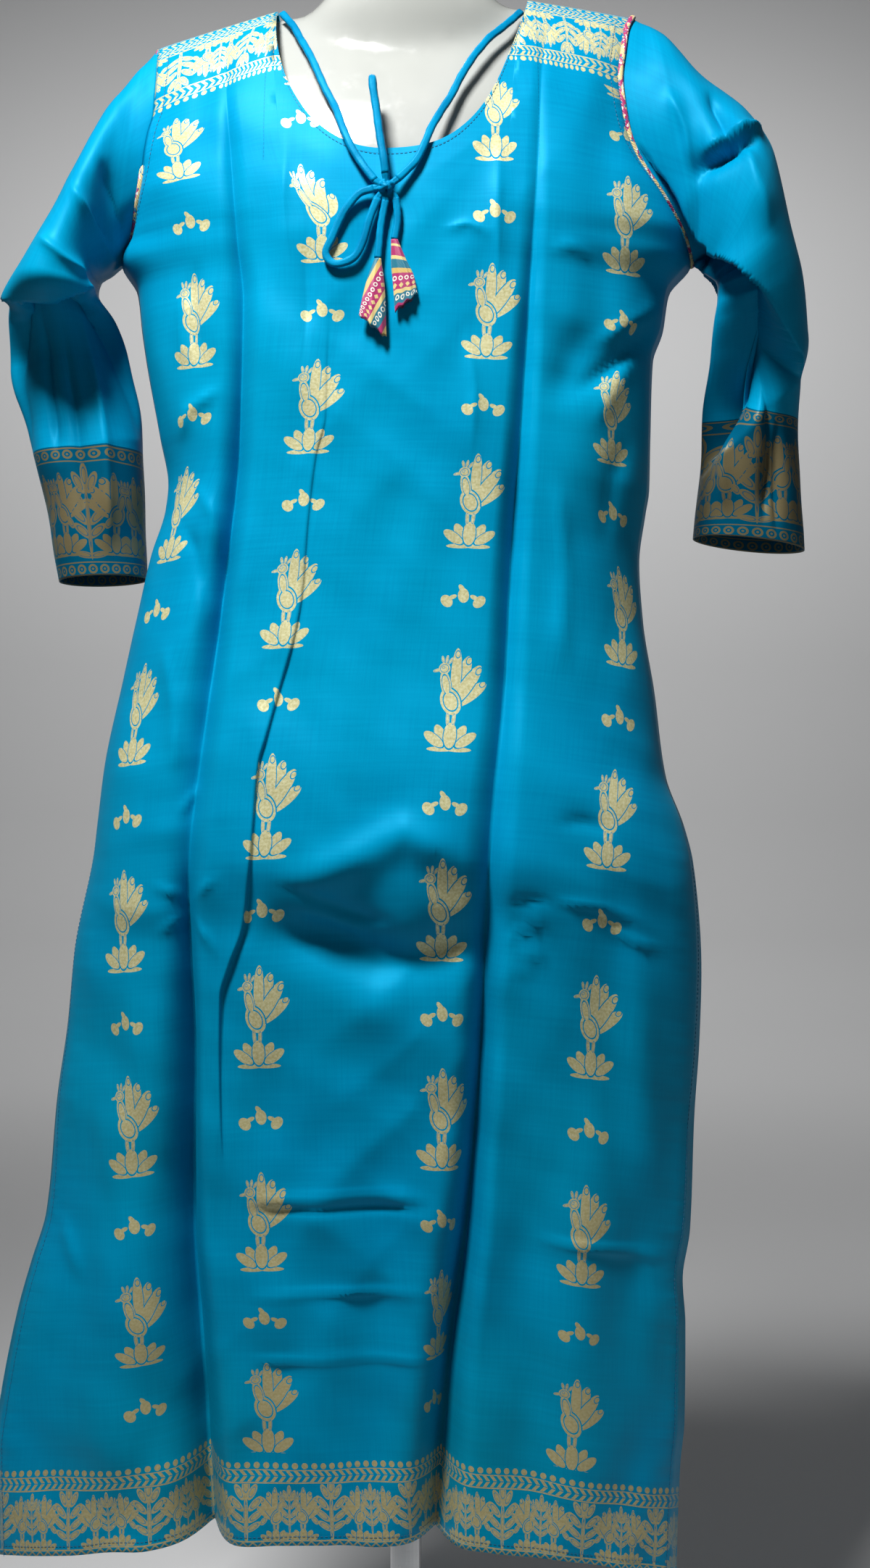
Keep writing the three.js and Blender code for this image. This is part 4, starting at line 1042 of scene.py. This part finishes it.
def dress(obj, made, slot, *nodes):
    """Gives a piece its material and body, and hides the CAD nodes that it stands for; the slot is not used.
    """
    obj.data.materials.clear()
    obj.data.materials.append(made)
    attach(obj, "root")
    if nodes:
        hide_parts(*nodes)
    return obj


# ------------------------------------------------------------ neck tie
TIE_WIDTH = 5.2
STRING_WIDTH = 4.8
ROUTES = {
    "tie_left": [
        (-98.5, -20, 1480), (-93.3, -26.5, 1472), (-88, -35.5, 1463), (-82.7, -44, 1451),
        (-77.6, -52, 1440.5), (-72.5, -59.5, 1429), (-66.4, -67.5, 1413.5), (-61, -73.8, 1400),
        (-54.5, -81, 1386), (-51.2, -87.5, 1377.5), (-47.3, -95.5, 1364.5), (-43.2, -100.8, 1353.5),
        (-38.8, -103.4, 1343.8), (-34.1, -105, 1336), (-29, -107.4, 1328), (-21.6, -109.5, 1318.2)],
    "tie_right": [
        (91.6, -30.5, 1477), (86, -40, 1468.5), (79.5, -47, 1460.5), (73, -52, 1453.5),
        (66, -57.6, 1446), (59.7, -62.6, 1437), (53.4, -67.5, 1427.5), (44.3, -74, 1411),
        (39.8, -77.5, 1401), (35.3, -81.5, 1391), (30.3, -86, 1382), (24.7, -91.5, 1371),
        (20.3, -96.5, 1361.5), (15.5, -101.5, 1348), (8.8, -105.4, 1334), (-4.8, -109.5, 1319.2)],
    "bow_loop_left": [
        (-22.6, -108.6, 1312.5), (-34, -108, 1308.5), (-45, -107, 1295), (-54, -106.5, 1276),
        (-59, -106.2, 1264), (-52, -107, 1256), (-38, -108.4, 1260), (-31, -109, 1272),
        (-26, -109, 1289), (-19.6, -108.6, 1305.2)],
    "bow_loop_up": [
        (-13.5, -104.9, 1322.6), (-14.5, -104.2, 1332), (-17, -101.6, 1350), (-20, -94, 1372),
        (-22.5, -89, 1388), (-23.5, -89.5, 1396), (-24, -94, 1400.5), (-24, -99.5, 1399),
        (-23.5, -102, 1391), (-21.5, -104, 1378), (-18, -108.5, 1352), (-15, -111.8, 1334),
        (-13.8, -112, 1322.9)],
    "tassel_string_left": [
        (-13.6, -108.6, 1303.2), (-15.5, -108.8, 1294), (-17.5, -109.2, 1282), (-18.5, -109.8, 1270),
        (-19.5, -110.3, 1259.5)],
    "tassel_string_right": [
        (-6.2, -108.6, 1305.2), (-5, -108.9, 1297), (-4.8, -109.4, 1287), (-6.9, -110.2, 1273.8)],
}


def through(points, count):
    """A smooth line of count points through the given ones, evenly spaced."""
    p = np.asarray(points, dtype=float)
    p = np.vstack([2 * p[0] - p[1], p, 2 * p[-1] - p[-2]])
    fine = []
    for i in range(1, len(p) - 2):
        t = np.linspace(0, 1, 16, endpoint=False)[:, None]
        a, b, c, d = p[i - 1], p[i], p[i + 1], p[i + 2]
        fine.append(0.5 * (2 * b + (c - a) * t + (2 * a - 5 * b + 4 * c - d) * t ** 2
                           + (3 * b - a - 3 * c + d) * t ** 3))
    fine = np.vstack(fine + [p[-2][None]])
    run = run_along(fine)
    at = np.linspace(0, run[-1], count)
    return np.stack([np.interp(at, run, fine[:, k]) for k in range(3)], axis=1), run[-1]


def ribbon_tube(name, line, wide, deep, facing, sides=20):
    """A tube of oval section along a line, its flat side towards facing, with a shallow crease along one side
    and a slight wobble in width.
    """
    tangent = np.gradient(line, axis=0)
    tangent /= np.linalg.norm(tangent, axis=1, keepdims=True)
    across = np.cross(tangent, np.asarray(facing, dtype=float))
    across /= np.maximum(np.linalg.norm(across, axis=1, keepdims=True), 1e-6)
    out = np.cross(across, tangent)
    angles = np.linspace(0, 2 * math.pi, sides, endpoint=False)
    section_x = np.sign(np.cos(angles)) * np.abs(np.cos(angles)) ** 0.85 * wide / 2
    section_y = np.sin(angles) * deep / 2
    seam = -0.35 * np.exp(-((angles - math.pi / 2) / 0.22) ** 2)
    wobble = 1 + 0.035 * np.sin(np.arange(len(line)) * 0.9) + 0.02 * np.sin(np.arange(len(line)) * 2.3)
    grid = (line[:, None] + across[:, None] * (section_x[None] * wobble[:, None])[..., None]
            + out[:, None] * (section_y[None] + seam[None])[..., None])
    return tube(name, grid, uv_of(np.arange(sides)[None] * wide * 2.4 / sides, run_along(line)[:, None]))


tie_silk = tie_material()
cord_pieces = {}
for node, points in ROUTES.items():
    line, length = through(points, max(40, 6 * len(points)))
    width = STRING_WIDTH if "string" in node else TIE_WIDTH
    piece = ribbon_tube("silk_" + node, line, width + 0.8, width - 0.8, (0.05, -1, 0.05))
    dress(piece, tie_silk, "tie_cord", node)
    cord_pieces[node] = (piece, line, length, width)


def knot_piece():
    """The strands run in under two short wraps pulled tight over each other."""
    middle = np.array([-13.0, -109.4, 1313.0])
    parts = []
    for points in ROUTES.values():
        for end, inner in ((points[0], points[1]), (points[-1], points[-2])):
            end, inner = np.array(end), np.array(inner)
            if np.linalg.norm(end - middle) > 16:
                continue
            back_in = end + (inner - end) / np.linalg.norm(inner - end) * 1.2
            line, _ = through([back_in, end, mix(end, middle, 0.5), middle + (end - middle) * 0.05], 12)
            parts.append(ribbon_tube("strand", line, TIE_WIDTH + 0.2, TIE_WIDTH - 1.2, (0.05, -1, 0.05)))
    for tilt, forward, reach in ((0.35, 0.9, 4.6), (-0.95, 1.7, 4.0)):
        t = np.linspace(-0.15, 2 * math.pi + 0.15, 30)
        flat = np.stack([reach * np.cos(t), -forward - 3.4 * np.sin(t), np.sin(2 * t)], axis=1)
        c, d = math.cos(tilt), math.sin(tilt)
        x, y, z = flat.T
        line = middle + np.stack([x * c - z * d, y, x * d + z * c], axis=1)
        parts.append(ribbon_tube("wrap", line, 4.6, 3.4, (d, -0.2, c)))
    obj = joined("silk_tie_knot", parts)
    remesh = obj.modifiers.new("merge", "REMESH")
    remesh.mode = "VOXEL"
    remesh.voxel_size = 0.0005
    relax = obj.modifiers.new("relax", "SMOOTH")
    relax.iterations = 2
    bake(obj)
    return obj


def joined(name, parts):
    """One object with the meshes of several, which are removed."""
    work = bmesh.new()
    for part in parts:
        work.from_mesh(part.data)
        bpy.data.objects.remove(part)
    mesh = bpy.data.meshes.new(name)
    work.to_mesh(mesh)
    work.free()
    return link(bpy.data.objects.new(name, mesh))


def bake(obj):
    """Applies an object's modifiers to its mesh."""
    bpy.context.view_layer.update()
    graph = bpy.context.evaluated_depsgraph_get()
    mesh = bpy.data.meshes.new_from_object(obj.evaluated_get(graph))
    obj.modifiers.clear()
    obj.data = mesh
    obj.data.shade_smooth()


dress(knot_piece(), tie_silk, "tie_cord", "tie_knot")


# ------------------------------------------------------------ tassels
def tassel_piece(name, rows, seed, turn):
    """A flat cone of layered cloth that hangs in soft flutes. Rows: left x, z, right x, z, depth."""
    rows = np.asarray(rows, dtype=float)
    steps = np.linspace(0, 1, 40)
    keys = np.linspace(0, 1, len(rows))
    lx, lz, rx, rz, depth = (pchip(keys, rows[:, k], steps) for k in range(5))
    sides = 48
    angle = np.linspace(0, 2 * math.pi, sides, endpoint=False)
    share = (1 - np.cos(angle)) / 2
    flutes = 0.55 * np.sin(share * 17 + seed) + 0.35 * np.sin(share * 31 + 2 * seed)
    out = np.sin(angle) * depth[:, None] * 3.6 + np.sign(np.sin(angle)) * flutes * steps[:, None]
    x, z = mix(lx[:, None], rx[:, None], share[None]), mix(lz[:, None], rz[:, None], share[None])
    z = z - 1.2 * np.sin(share * 17 + seed)[None] * steps[:, None] ** 4
    grid = np.stack([x, -110.6 - out, z], axis=2)
    width = np.hypot(rx - lx, rz - lz)[:, None] * (share[None] - 0.5)
    down = np.concatenate([[0], np.cumsum(np.hypot(np.diff((lx + rx) / 2), np.diff((lz + rz) / 2)))])
    c, d = math.cos(turn), math.sin(turn)
    t = down[:, None]
    return tube(name, grid, uv_of(width * c + t * d, t * c - width * d + 30 * abs(d)))


tassel_cloth = tassel_material()
tassels = {
    "left": tassel_piece("cloth_tassel_left", [
        (-22, 1258.8, -17, 1258.8, 0.7), (-28, 1242, -14.5, 1241, 1), (-31.5, 1228, -13.3, 1222, 1),
        (-33.7, 1217, -12.9, 1199, 0.9)], 0.4, -1.15),
    "right": tassel_piece("cloth_tassel_right", [
        (-9.6, 1273, -4.4, 1273.2, 0.7), (-9.5, 1257, 2, 1258, 1), (-8, 1239, 8, 1245, 1),
        (-6.5, 1219, 10.5, 1232, 0.9)], 1.9, 0.22),
}
for side_name, piece in tassels.items():
    dress(piece, tassel_cloth, "tassel", "tassel_" + side_name)

# ------------------------------------------------------------ panels
woven_silk = panel_material()
back, back_points, back_z = make_panel("silk_back_panel", BACK)
dress(back, woven_silk, "silk", "back_panel")
front, front_points, front_z = make_panel("silk_front_panel", FRONT)
dress(front, woven_silk, "silk", "front_panel")


# ------------------------------------------------------------ stitches
def new_socket(tree, name, kind, side="INPUT", default=None):
    made = tree.interface.new_socket(name=name, in_out=side, socket_type=kind)
    if default is not None:
        made.default_value = default
    return made.identifier


def stitch_tree():
    """Geometry Nodes: a row of thread stitches along a curve, each a small flattened bead."""
    tree = bpy.data.node_groups.new("stitch_row", "GeometryNodeTree")
    keys = {"Rows": new_socket(tree, "Rows", "NodeSocketGeometry")}
    for name, default in (("Pitch", 0.0034), ("Length", 0.0024), ("Thickness", 0.0005)):
        keys[name] = new_socket(tree, name, "NodeSocketFloat", default=default)
    keys["Thread"] = new_socket(tree, "Thread", "NodeSocketMaterial")
    new_socket(tree, "Stitches", "NodeSocketGeometry", "OUTPUT")
    made = {name: tree.nodes.new(kind) for name, kind in (
        ("inputs", "NodeGroupInput"), ("outputs", "NodeGroupOutput"), ("even", "GeometryNodeResampleCurve"),
        ("bead", "GeometryNodeMeshUVSphere"), ("stretch", "GeometryNodeTransform"),
        ("size", "ShaderNodeCombineXYZ"), ("along", "GeometryNodeInputTangent"),
        ("turn", "FunctionNodeAlignEulerToVector"),
        ("place", "GeometryNodeInstanceOnPoints"), ("realize", "GeometryNodeRealizeInstances"),
        ("finish", "GeometryNodeSetMaterial"))}
    made["even"].mode = "LENGTH"
    made["bead"].inputs["Segments"].default_value = 6
    made["bead"].inputs["Rings"].default_value = 4
    made["bead"].inputs["Radius"].default_value = 0.5
    made["turn"].axis = "Z"
    for start, out, end, into in (
            ("inputs", "Rows", "even", "Curve"), ("inputs", "Pitch", "even", "Length"),
            ("inputs", "Thickness", "size", "X"), ("inputs", "Thickness", "size", "Y"),
            ("inputs", "Length", "size", "Z"), ("size", "Vector", "stretch", "Scale"),
            ("bead", "Mesh", "stretch", "Geometry"), ("along", "Tangent", "turn", "Vector"),
            ("even", "Curve", "place", "Points"), ("stretch", "Geometry", "place", "Instance"),
            ("turn", "Rotation", "place", "Rotation"), ("place", "Instances", "realize", "Geometry"),
            ("realize", "Geometry", "finish", "Geometry"), ("inputs", "Thread", "finish", "Material"),
            ("finish", "Geometry", "outputs", "Stitches")):
        tree.links.new(made[start].outputs[out], made[end].inputs[into])
    return tree, keys


def surface_line(grid, rows, columns, out):
    """Points on the cloth at fractional rows and columns of its grid, lifted by out millimetres."""
    rows, columns = np.broadcast_arrays(np.asarray(rows, float), np.asarray(columns, float))
    i = np.clip(np.floor(rows).astype(int), 0, grid.shape[0] - 2)
    j = np.clip(np.floor(columns).astype(int), 0, grid.shape[1] - 2)
    a, b = (rows - i)[:, None], (columns - j)[:, None]
    near = mix(grid[i, j], grid[i, j + 1], b)
    far = mix(grid[i + 1, j], grid[i + 1, j + 1], b)
    lifted = mix(near, far, a)
    normal = np.cross(grid[i, j + 1] - grid[i, j], grid[i + 1, j] - grid[i, j])
    normal /= np.maximum(np.linalg.norm(normal, axis=1, keepdims=True), 1e-9)
    away = np.sign(lifted[:, 1:2] * normal[:, 1:2] + 1e-9)
    return lifted + normal * away * out


def in_from_side(grid, heights, side, distance):
    """A line down the cloth at a distance from one of its side edges."""
    run = run_along(grid, 1)
    keep = np.flatnonzero(heights)
    wanted = [distance if side < 0 else run[k, -1] - distance for k in keep]
    columns = [np.interp(w, run[k], np.arange(grid.shape[1])) for k, w in zip(keep, wanted)]
    return keep, columns


def stitches(name, lines, thread, pitch):
    """Rows of stitches along lines of points, as one plain mesh."""
    curve = bpy.data.curves.new(name + "_rows", "CURVE")
    curve.dimensions = "3D"
    for line in lines:
        spline = curve.splines.new("POLY")
        spline.points.add(len(line) - 1)
        for point, place_at in zip(spline.points, line):
            point.co = (*(np.asarray(place_at) * MM), 1)
    carrier = link(bpy.data.objects.new(name + "_rows", curve))
    modifier = carrier.modifiers.new("stitches", "NODES")
    modifier.node_group = STITCH_TREE
    modifier[STITCH_KEYS["Pitch"]] = pitch
    modifier[STITCH_KEYS["Length"]] = pitch * 0.72
    modifier[STITCH_KEYS["Thread"]] = thread
    seen = carrier.evaluated_get(bpy.context.evaluated_depsgraph_get())
    mesh = bpy.data.meshes.new_from_object(seen)
    mesh.name = name
    bpy.data.objects.remove(carrier)
    return link(bpy.data.objects.new(name, mesh))


def thread_material():
    made, tree, shader = material("stitch_thread", (0.0, 0.10, 0.22), 0.55, sheen=0.2)
    twist = noise(tree, object_place(tree), 900.0, 2.0)
    tone = blend(tree, ramp(twist, 0.3, 0.7), (0.0, 0.075, 0.18), (0.0, 0.15, 0.29))
    surface(tree, shader, tone, twist, 0.3, 0.0002, 0.45 + twist * 0.2)
    return made


STITCH_TREE, STITCH_KEYS = stitch_tree()
sewing_thread = thread_material()
panel_stitches = {}
for piece, grid, z in ((back, back_points, back_z), (front, front_points, front_z)):
    lines = []
    for side in (-1, 1):
        keep, columns = in_from_side(grid, z[:, 0] < SLIT_Z, side, HEM_WIDTH)
        lines.append(surface_line(grid, keep, columns, STITCH_OUT))
        beside_arm = (z[:, 0] > UNDERARM_Z) & (z[:, 0] < SHOULDER_Z - 18)
        keep, columns = in_from_side(grid, beside_arm, side, ARMHOLE_STITCH)
        lines.append(surface_line(grid, keep, columns, STITCH_OUT))
    last = grid.shape[0] - 1
    along_hem = np.arange(2, grid.shape[1] - 2)
    fall = np.cumsum(np.linalg.norm(np.diff(grid[::-1], axis=0), axis=2), axis=0)
    hem_rows = [last - 1 - np.interp(HEM_STITCH, fall[:, j], np.arange(last)) for j in along_hem]
    lines.append(surface_line(grid, hem_rows, along_hem, STITCH_OUT))
    around = np.arange(NECK_STARTS + 2, NECK_STARTS + NECK_COLUMNS - 1)
    drop = np.cumsum(np.linalg.norm(np.diff(grid, axis=0), axis=2), axis=0)
    neck_rows = [1 + np.interp(NECK_STITCH, drop[:, j], np.arange(last)) for j in around]
    lines.append(surface_line(grid, neck_rows, around, STITCH_OUT))
    sewn = stitches(piece.name + "_stitches", lines, sewing_thread, STITCH_PITCH * MM)
    panel_stitches[piece.name] = dress(sewn, sewing_thread, "silk")

# ------------------------------------------------------------ sleeves
SLEEVE_ROWS = {
    "right": [
        (205, 1468, 242, 1277, -3, 54), (238, 1430, 247, 1271, -10, 60), (270, 1400, 250, 1266, -16, 62),
        (292, 1364, 251, 1260, -20, 62), (303, 1315, 251, 1250, -20, 61), (315, 1268, 250, 1236, -14, 57),
        (320, 1225, 249, 1211, 4, 52), (323.5, 1170, 245, 1170, 34, 46), (328.5, 1124, 244, 1117, 50, 44),
        (334, 1059, 241, 1070, 60, 43)],
    "left": [
        (-218, 1431, -239, 1277, -3, 54), (-240, 1396, -246, 1271, -10, 60),
        (-262, 1352, -249, 1267, -16, 62), (-286, 1302, -249, 1260, -20, 62),
        (-308, 1264, -245, 1251, -20, 61), (-323, 1236, -237, 1240, 2, 48),
        (-325, 1204, -228, 1212, 20, 43), (-311, 1152, -219, 1156, 25, 43),
        (-297, 1095, -216, 1091, 26, 44), (-285, 1029, -214.5, 1032, 27, 43)],
}
# The edge where the upper sleeve hangs over the lower: its height, how far down the cloth below takes to
# come out again, the share of its far end that fades (0: none), and its path. Then the soft creases.
SLEEVE_LEDGE = {
    "right": (36, 1200, 0.16, [(220, 1318), (231, 1304), (252, 1277), (277, 1245), (301, 1213), (322, 1192)]),
    "left": (22, 110, 0, [(-332, 1250), (-300, 1243), (-272, 1244), (-248, 1251), (-222, 1262)]),
}
SLEEVE_CREASES = {
    "right": [
        (-13, 12, 0.35, [(276, 1362), (252, 1353), (236, 1344), (224, 1336)]),
        (6, 8, 0.3, [(282, 1376), (252, 1366), (230, 1352)]),
        (5, 10, 0.3, [(264, 1233), (258, 1169), (264, 1075)]),
        (-7, 10, 0.3, [(292, 1204), (297, 1134), (292, 1060)]),
        (5, 14, 0.3, [(250, 1395), (267, 1339), (281, 1282)]),
        (4, 12, 0.3, [(204, 1412), (221, 1373), (227, 1339)]),
        (-5, 9, 0.3, [(238, 1410), (248, 1370), (252, 1345)]),
        (-4, 6, 0.3, [(304, 1169), (304, 1116), (304, 1053)]),
    ],
    "left": [
        (3, 7, 0.3, [(-259, 1330), (-242, 1298), (-225, 1272)]),
        (-2.4, 6, 0.3, [(-247, 1314), (-236, 1291), (-222, 1268)]),
        (3, 8, 0.3, [(-282, 1288), (-265, 1270), (-248, 1258)]),
        (-3, 7, 0.3, [(-238, 1353), (-226, 1311), (-219, 1282)]),
        (6, 12, 0.3, [(-252, 1240), (-245, 1169), (-238, 1034)]),
        (-4, 12, 0.3, [(-276, 1239), (-263, 1145), (-254, 1031)]),
        (-5, 12, 0.3, [(-299, 1233), (-292, 1181), (-278, 1116)]),
    ],
}
HEIGHTS_AT_SEAM = [1488, 1484, 1474, 1454, 1423, 1383, 1345, 1317, 1298, 1284]


def sleeve_piece(name, side_name):
    rounds = 128
    angle = np.linspace(0, 2 * math.pi, rounds, endpoint=False)
    share = (1 - np.cos(angle)) / 2
    position = np.where(angle <= math.pi, angle, 2 * math.pi - angle) / math.pi * 9
    z = pchip(range(10), HEIGHTS_AT_SEAM, position)
    x = OUTLINE(side_name, z)
    seams = np.where((angle <= math.pi)[:, None], place(BACK, x, z), place(FRONT, x, z))
    rings_made = [seams]
    for ox, oz, ix, iz, y, half in SLEEVE_ROWS[side_name]:
        ring = [mix(ox, ix, share), y - half * np.sin(angle), mix(oz, iz, share)]
        rings_made.append(np.stack(ring, axis=1))
    rings_made = np.asarray(rings_made)
    middles = rings_made.mean(axis=1)
    run = np.concatenate([[0], np.cumsum(np.maximum(np.linalg.norm(np.diff(middles, axis=0), axis=1), 4))])
    count = 220
    at = np.linspace(0, run[-1], count)
    grid = np.empty((count, rounds, 3))
    for k in range(3):
        for j in range(rounds):
            grid[:, j, k] = pchip(run, rings_made[:, j, k], at)
    # the hanging fold goes on round the other half at 0.3 of its height, the creases are on the shown half
    inner = grid.mean(axis=1, keepdims=True)
    out = normals_of(grid, True)
    out *= np.sign(np.sum(out * (grid - inner), axis=2, keepdims=True))
    gx, gz = grid[..., 0], grid[..., 2]
    facing = np.clip(-out[..., 1] * 1.6, -1, 1)
    seam_fade = smooth(0, 26, at)[:, None]
    end_fade = 0.35 + 0.65 * smooth(0, 40, run[-1] - at)[:, None]
    rise, fall, fade, path = SLEEVE_LEDGE[side_name]
    d, share_along, upper = to_path(gx, gz, path)
    signed = d * upper
    under = -rise * np.clip(1 + signed / fall, 0, 1) * smooth(1, -3, signed)
    ledge = np.where(signed > 0, 0.30 * rise * np.exp(-signed / 24), under)
    ledge = ledge * (0.55 + 0.45 * smooth(0, 110, run[-1] - at)[:, None])
    if fade:
        ledge = ledge * smooth(1, 1 - fade, share_along)
    height = ledge * smooth(0.02, 0.5, facing) + ledge * 0.3 * smooth(0.0, -0.6, facing)
    soft = creases(gx, gz, SLEEVE_CREASES[side_name]) * smooth(0.0, 0.5, facing)
    soft = (soft + rumple(gx * 1.3, gz, 17) * 0.7) * end_fade
    grid = grid + out * ((height + soft) * seam_fade)[..., None]
    length_up = run_along(grid)
    v = np.median(length_up[-1]) - np.median(length_up, axis=1, keepdims=True)
    u = angle[None] / (2 * math.pi) * CUFF_ROUND
    return shell(name, grid, {"cloth": uv_of(u, v)}, closed=True), seams


sleeve_silk = sleeve_material()
seam_lines = {}
for side_name in ("left", "right"):
    piece, seam_lines[side_name] = sleeve_piece("silk_sleeve_" + side_name, side_name)
    dress(piece, sleeve_silk, "silk", "sleeve_" + side_name)

# ------------------------------------------------------------ piping
piping_cloth = piping_material()


def piping_piece(name, seam):
    middle = seam.mean(axis=0)
    tangent = np.roll(seam, -1, axis=0) - np.roll(seam, 1, axis=0)
    tangent /= np.linalg.norm(tangent, axis=1, keepdims=True)
    out = seam - middle
    out[:, 0] *= 0.3
    out -= tangent * np.sum(out * tangent, axis=1, keepdims=True)
    out /= np.linalg.norm(out, axis=1, keepdims=True)
    across = np.cross(tangent, out)
    shown = np.ones(len(seam))
    if "left" in name:
        shown = smooth(1292, 1300, seam[:, 2]) * smooth(1352, 1342, seam[:, 2])
    line = seam + out * (1.5 - 3.3 * (1 - shown))[:, None]
    sides = 12
    angles = np.linspace(0, 2 * math.pi, sides, endpoint=False)
    grid = (line[:, None] + across[:, None] * (2.5 * np.cos(angles))[None, :, None]
            + out[:, None] * (1.7 * np.sin(angles))[None, :, None])
    uv = uv_of(np.abs(np.arange(sides) - sides / 2)[None] * 1.2, run_along(seam)[:, None])
    return tube(name, grid, uv, ring=True)


for side_name in ("left", "right"):
    piece = piping_piece("cloth_piping_" + side_name, seam_lines[side_name])
    dress(piece, piping_cloth, "piping", "armhole_piping_" + side_name)


# ------------------------------------------------------------ display form
def smooth_form():
    """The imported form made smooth: a copy, merged, remeshed and relaxed."""
    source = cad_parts["form_torso"]
    obj = link(bpy.data.objects.new("gloss_form_torso", source.data.copy()))
    obj.matrix_world = source.matrix_world.copy()
    work = bmesh.new()
    work.from_mesh(obj.data)
    bmesh.ops.remove_doubles(work, verts=work.verts, dist=0.00005)
    work.to_mesh(obj.data)
    work.free()
    remesh = obj.modifiers.new("even", "REMESH")
    remesh.mode = "VOXEL"
    remesh.voxel_size = 0.006
    relax = obj.modifiers.new("relax", "SMOOTH")
    relax.factor = 0.5
    relax.iterations = 14
    bake(obj)
    return obj


dress(smooth_form(), form_material(), "form_shell", "form_torso")
for node, look in (("form_pole", metal_material("pole_steel", (0.56, 0.57, 0.58), 0.24, True)),
                   ("form_base", metal_material("base_paint", (0.72, 0.71, 0.69), 0.30, False))):
    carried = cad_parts[node]
    carried.data.materials.clear()
    carried.data.materials.append(look)

# ------------------------------------------------------------ what each soft piece is
CUTS = {  # flat width and length of what shows, and its area, in metres
    "silk_back_panel": (0.80, 1.22, 0.72), "silk_front_panel": (0.80, 1.22, 0.72),
    "silk_sleeve_left": (0.40, 0.46, 0.12), "silk_sleeve_right": (0.40, 0.46, 0.12),
}
for piece_name, (flat_width, flat_length, flat_area) in CUTS.items():
    sewn_on = [panel_stitches[piece_name]] if piece_name in panel_stitches else []
HELD = {"tassel_string_" + side_name: [piece] for side_name, piece in tassels.items()}
for node, (piece, line, length, width) in cord_pieces.items():
    tuple(line[0] * MM)
    float(length * MM)
    width * MM
    "fitting" if node in HELD else "knot"
    (line * MM).tolist()


# ------------------------------------------------------------ floor and light
def add_floor():
    half_m = 8.0
    mesh = bpy.data.meshes.new("studio_floor")
    profile = [(-5.0, 0.0), (4.0, 0.0), (4.6, 0.07), (5.1, 0.32), (5.38, 0.75), (5.5, 1.3), (5.5, 6.0)]
    points = [(x, y, z) for y, z in profile for x in (-half_m, half_m)]
    faces = [(2 * i, 2 * i + 1, 2 * i + 3, 2 * i + 2) for i in range(len(profile) - 1)]
    mesh.from_pydata(points, [], faces)
    mesh.shade_smooth()
    obj = link(bpy.data.objects.new("studio_floor", mesh))
    obj.data.materials.append(material("studio_paper", (0.80, 0.80, 0.80), 0.9)[0])


def add_light(name, place_at, aim, size_m, power, spread=180):
    data = bpy.data.lights.new(name, "AREA")
    data.shape = "RECTANGLE"
    data.size, data.size_y = size_m
    data.energy = power
    data.spread = math.radians(spread)
    lamp = link(bpy.data.objects.new(name, data))
    lamp.location = place_at
    lamp.rotation_euler = (Vector(aim) - Vector(place_at)).to_track_quat("-Z", "Y").to_euler()


add_floor()
add_light("key", (-0.50, -1.02, 2.62), (-0.02, -0.08, 1.15), (0.40, 0.40), 13.5, 76)
add_light("fill", (1.9, -2.4, 1.5), (0, 0, 0.8), (1.4, 1.4), 3.2)
add_light("backdrop", (0.0, 3.6, 3.0), (0, 5.5, 1.3), (4.0, 1.0), 45)
world = bpy.data.worlds.new("studio")
bpy.context.scene.world = world
world.use_nodes = True
world.node_tree.nodes["Background"].inputs["Color"].default_value = (0.86, 0.90, 0.95, 1)
world.node_tree.nodes["Background"].inputs["Strength"].default_value = 0.06
bpy.context.scene.view_settings.view_transform = "Standard"
